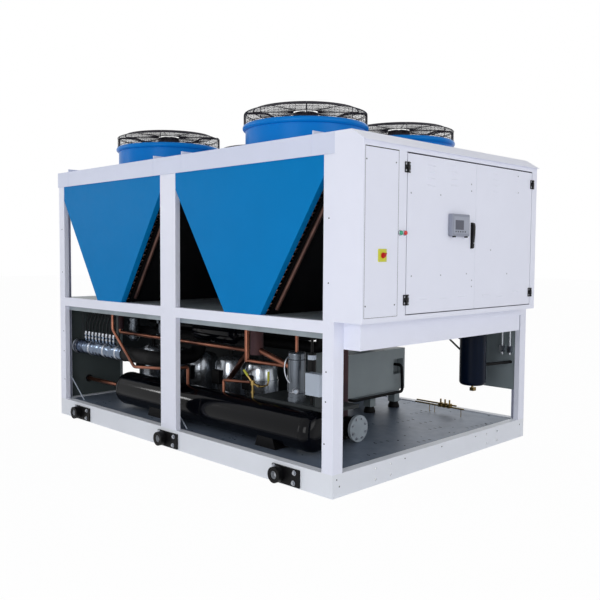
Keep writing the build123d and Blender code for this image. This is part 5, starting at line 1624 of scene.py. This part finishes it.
    def isolators(self) -> None:
        """Show the equipment box's isolators and the rails that it stands on."""
        pad_low, pad_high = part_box("enclosure_pads")
        low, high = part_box("enclosure")
        rail = low.z - 0.03
        rubber, steel = Form(), Form()
        for x in (pad_low.x + 0.05, pad_high.x - 0.05):
            steel.box((x - 0.025, low.y + 0.045, rail), (x + 0.025, high.y, low.z))
            for y in (pad_low.y + 0.045, pad_high.y - 0.045):
                rubber.lathe([(0, 0), (0, 0.046), (0.014, 0.048), (0.05, 0.034), (0.052, 0)], (x, y, pad_low.z), (0, 0, 1), 28)
                steel.box((x - 0.034, y - 0.034, pad_low.z + 0.05), (x + 0.034, y + 0.034, rail))
        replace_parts(show(rubber, "isolator_rubber", RUBBER), "enclosure_pads")
        show(steel, "isolator_steel", ENCLOSURE_GREY, bevel=0.0015)

    def supports(self) -> None:
        """Show the rails, the shelf on its angle legs, the hangers and the stays."""
        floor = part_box("floor_plate")[1].z
        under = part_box("mid_deck")[0].z
        form = Form()
        for y in (self.compressor_y - 0.091, self.compressor_y + 0.091):
            form.box((-1.35, y - 0.02, self.compressor_low - 0.003), (0.39, y + 0.02, self.compressor_low))
            form.box((-1.35, y - 0.02, floor), (0.39, y - 0.017, self.compressor_low - 0.003))
            form.box((-1.35, y - 0.02, floor), (0.39, y + 0.02, floor + 0.003))
        (x0, x1), (y0, y1), top = self.shelf_span, self.shelf_depth, self.shelf_top
        form.box((x0, y0, top - 0.004), (x1, y1, top))
        form.box((x0, y0, top - 0.022), (x1, y0 + 0.003, top - 0.004))
        form.box((x1 - 0.003, y0, top - 0.022), (x1, y1, top - 0.004))
        for x in (x0, x1 - 0.22):
            for y in (y0 + 0.16, y1 - 0.03):
                form.box((x, y, floor), (x + 0.03, y + 0.003, top - 0.004))
                form.box((x, y + 0.003, floor), (x + 0.003, y + 0.03, top - 0.004))
                form.box((x - 0.01, y - 0.01, floor), (x + 0.04, y + 0.04, floor + 0.004))
        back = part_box("terminal_box")[1].y
        middle = (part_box("terminal_box")[0].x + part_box("terminal_box")[1].x) / 2
        form.box((middle - 0.035, back, top - 0.004), (middle + 0.035, back + 0.004, 0.605))
        header_low, header_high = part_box("suction_header")
        y = (header_low.y + header_high.y) / 2
        for x in (-1.456, -0.896):
            form.box((x - 0.015, y - 0.002, self.header_top), (x + 0.015, y + 0.002, under))
            form.box((x - 0.015, y - 0.03, under - 0.004), (x + 0.015, y + 0.03, under))
        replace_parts(show(form, "support_steel", STEEL_GREY, bevel=0.0006), "plant_supports")
        stays = Form()
        for x in self.stay_places:
            y = -1.07
            stays.rod((x, y, floor + 0.24), (x + 0.17, y + 0.055, floor), 0.0045, 12)
        show(stays, "floor_stays", PLASTIC_PALE)

    def back_row(self) -> None:
        """Show what fills the space behind the front pipes, under the deck."""
        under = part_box("mid_deck")[0].z
        low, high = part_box("suction_line")
        self.canister("canister_left", -1.09, -0.7, 0.66, under, 0.05)
        self.baffles(under)
        self.canister("canister_middle", -0.62, -0.72, 0.7, under, 0.045)
        y, z = -0.6, 0.79
        vessel = Form().lathe([(0, 0), (0.004, 0.04), (0.03, 0.075), (0.07, 0.088), (0.5, 0.088), (0.54, 0.075), (0.566, 0.04),
                               (0.57, 0)], (-0.33, y, z + 0.02), (1, 0, 0), 40)
        vessel.rod((-0.05, y, z + 0.1), (-0.05, y, under), 0.02, 20)
        show(vessel, "suction_vessel", BLACK_GLOSS)
        for index, (level, back) in enumerate(((0.9, -0.28), (0.8, -0.2), (0.7, -0.12))):
            points = [(-1.55, back, level), (-1.3, back, level), (0.3, back, level), (0.56, back, level), (0.6, back, level + 0.02),
                      (0.6, back, under)]
            tube(f"insulated_pipe_{index}", points, 0.045, RUBBER)

    def build(self) -> None:
        """Build the plant's fittings."""
        self.valve()
        self.separator()
        self.back_row()
        self.compressors()
        self.header()
        self.receiver()
        self.flange_bolts()
        self.flange_body()
        self.pipework()
        self.isolators()
        self.supports()


def fan_centres(joints: Sequence[dict[str, Any]]) -> dict[str, Point]:
    """Read the four fan axes from the frame's joints.

    Args:
        joints: The frame's joints.

    Returns:
        The centre of each fan by its place.
    """
    prefix = "fan_spin_"
    return {joint["name"][len(prefix):]: tuple(joint["pos_m"]) for joint in joints if joint["name"].startswith(prefix)}


def main() -> None:
    """Build the studio and dress the rack."""
    logging.basicConfig(level=logging.INFO, format="%(name)s: %(message)s")
    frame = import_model()
    Studio().build()
    FrameDresser().build(frame["nodes"])
    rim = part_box("fan_rings")[1].z
    for place, centre in fan_centres(frame["joints"]).items():
        FanTop(place, centre, rim).build()
    CoilEnds().build()
    Cabinet().build()
    FrameTrim().build()
    Plant().build()
    bpy.context.view_layer.update()


if __name__ == "__main__":
    main()
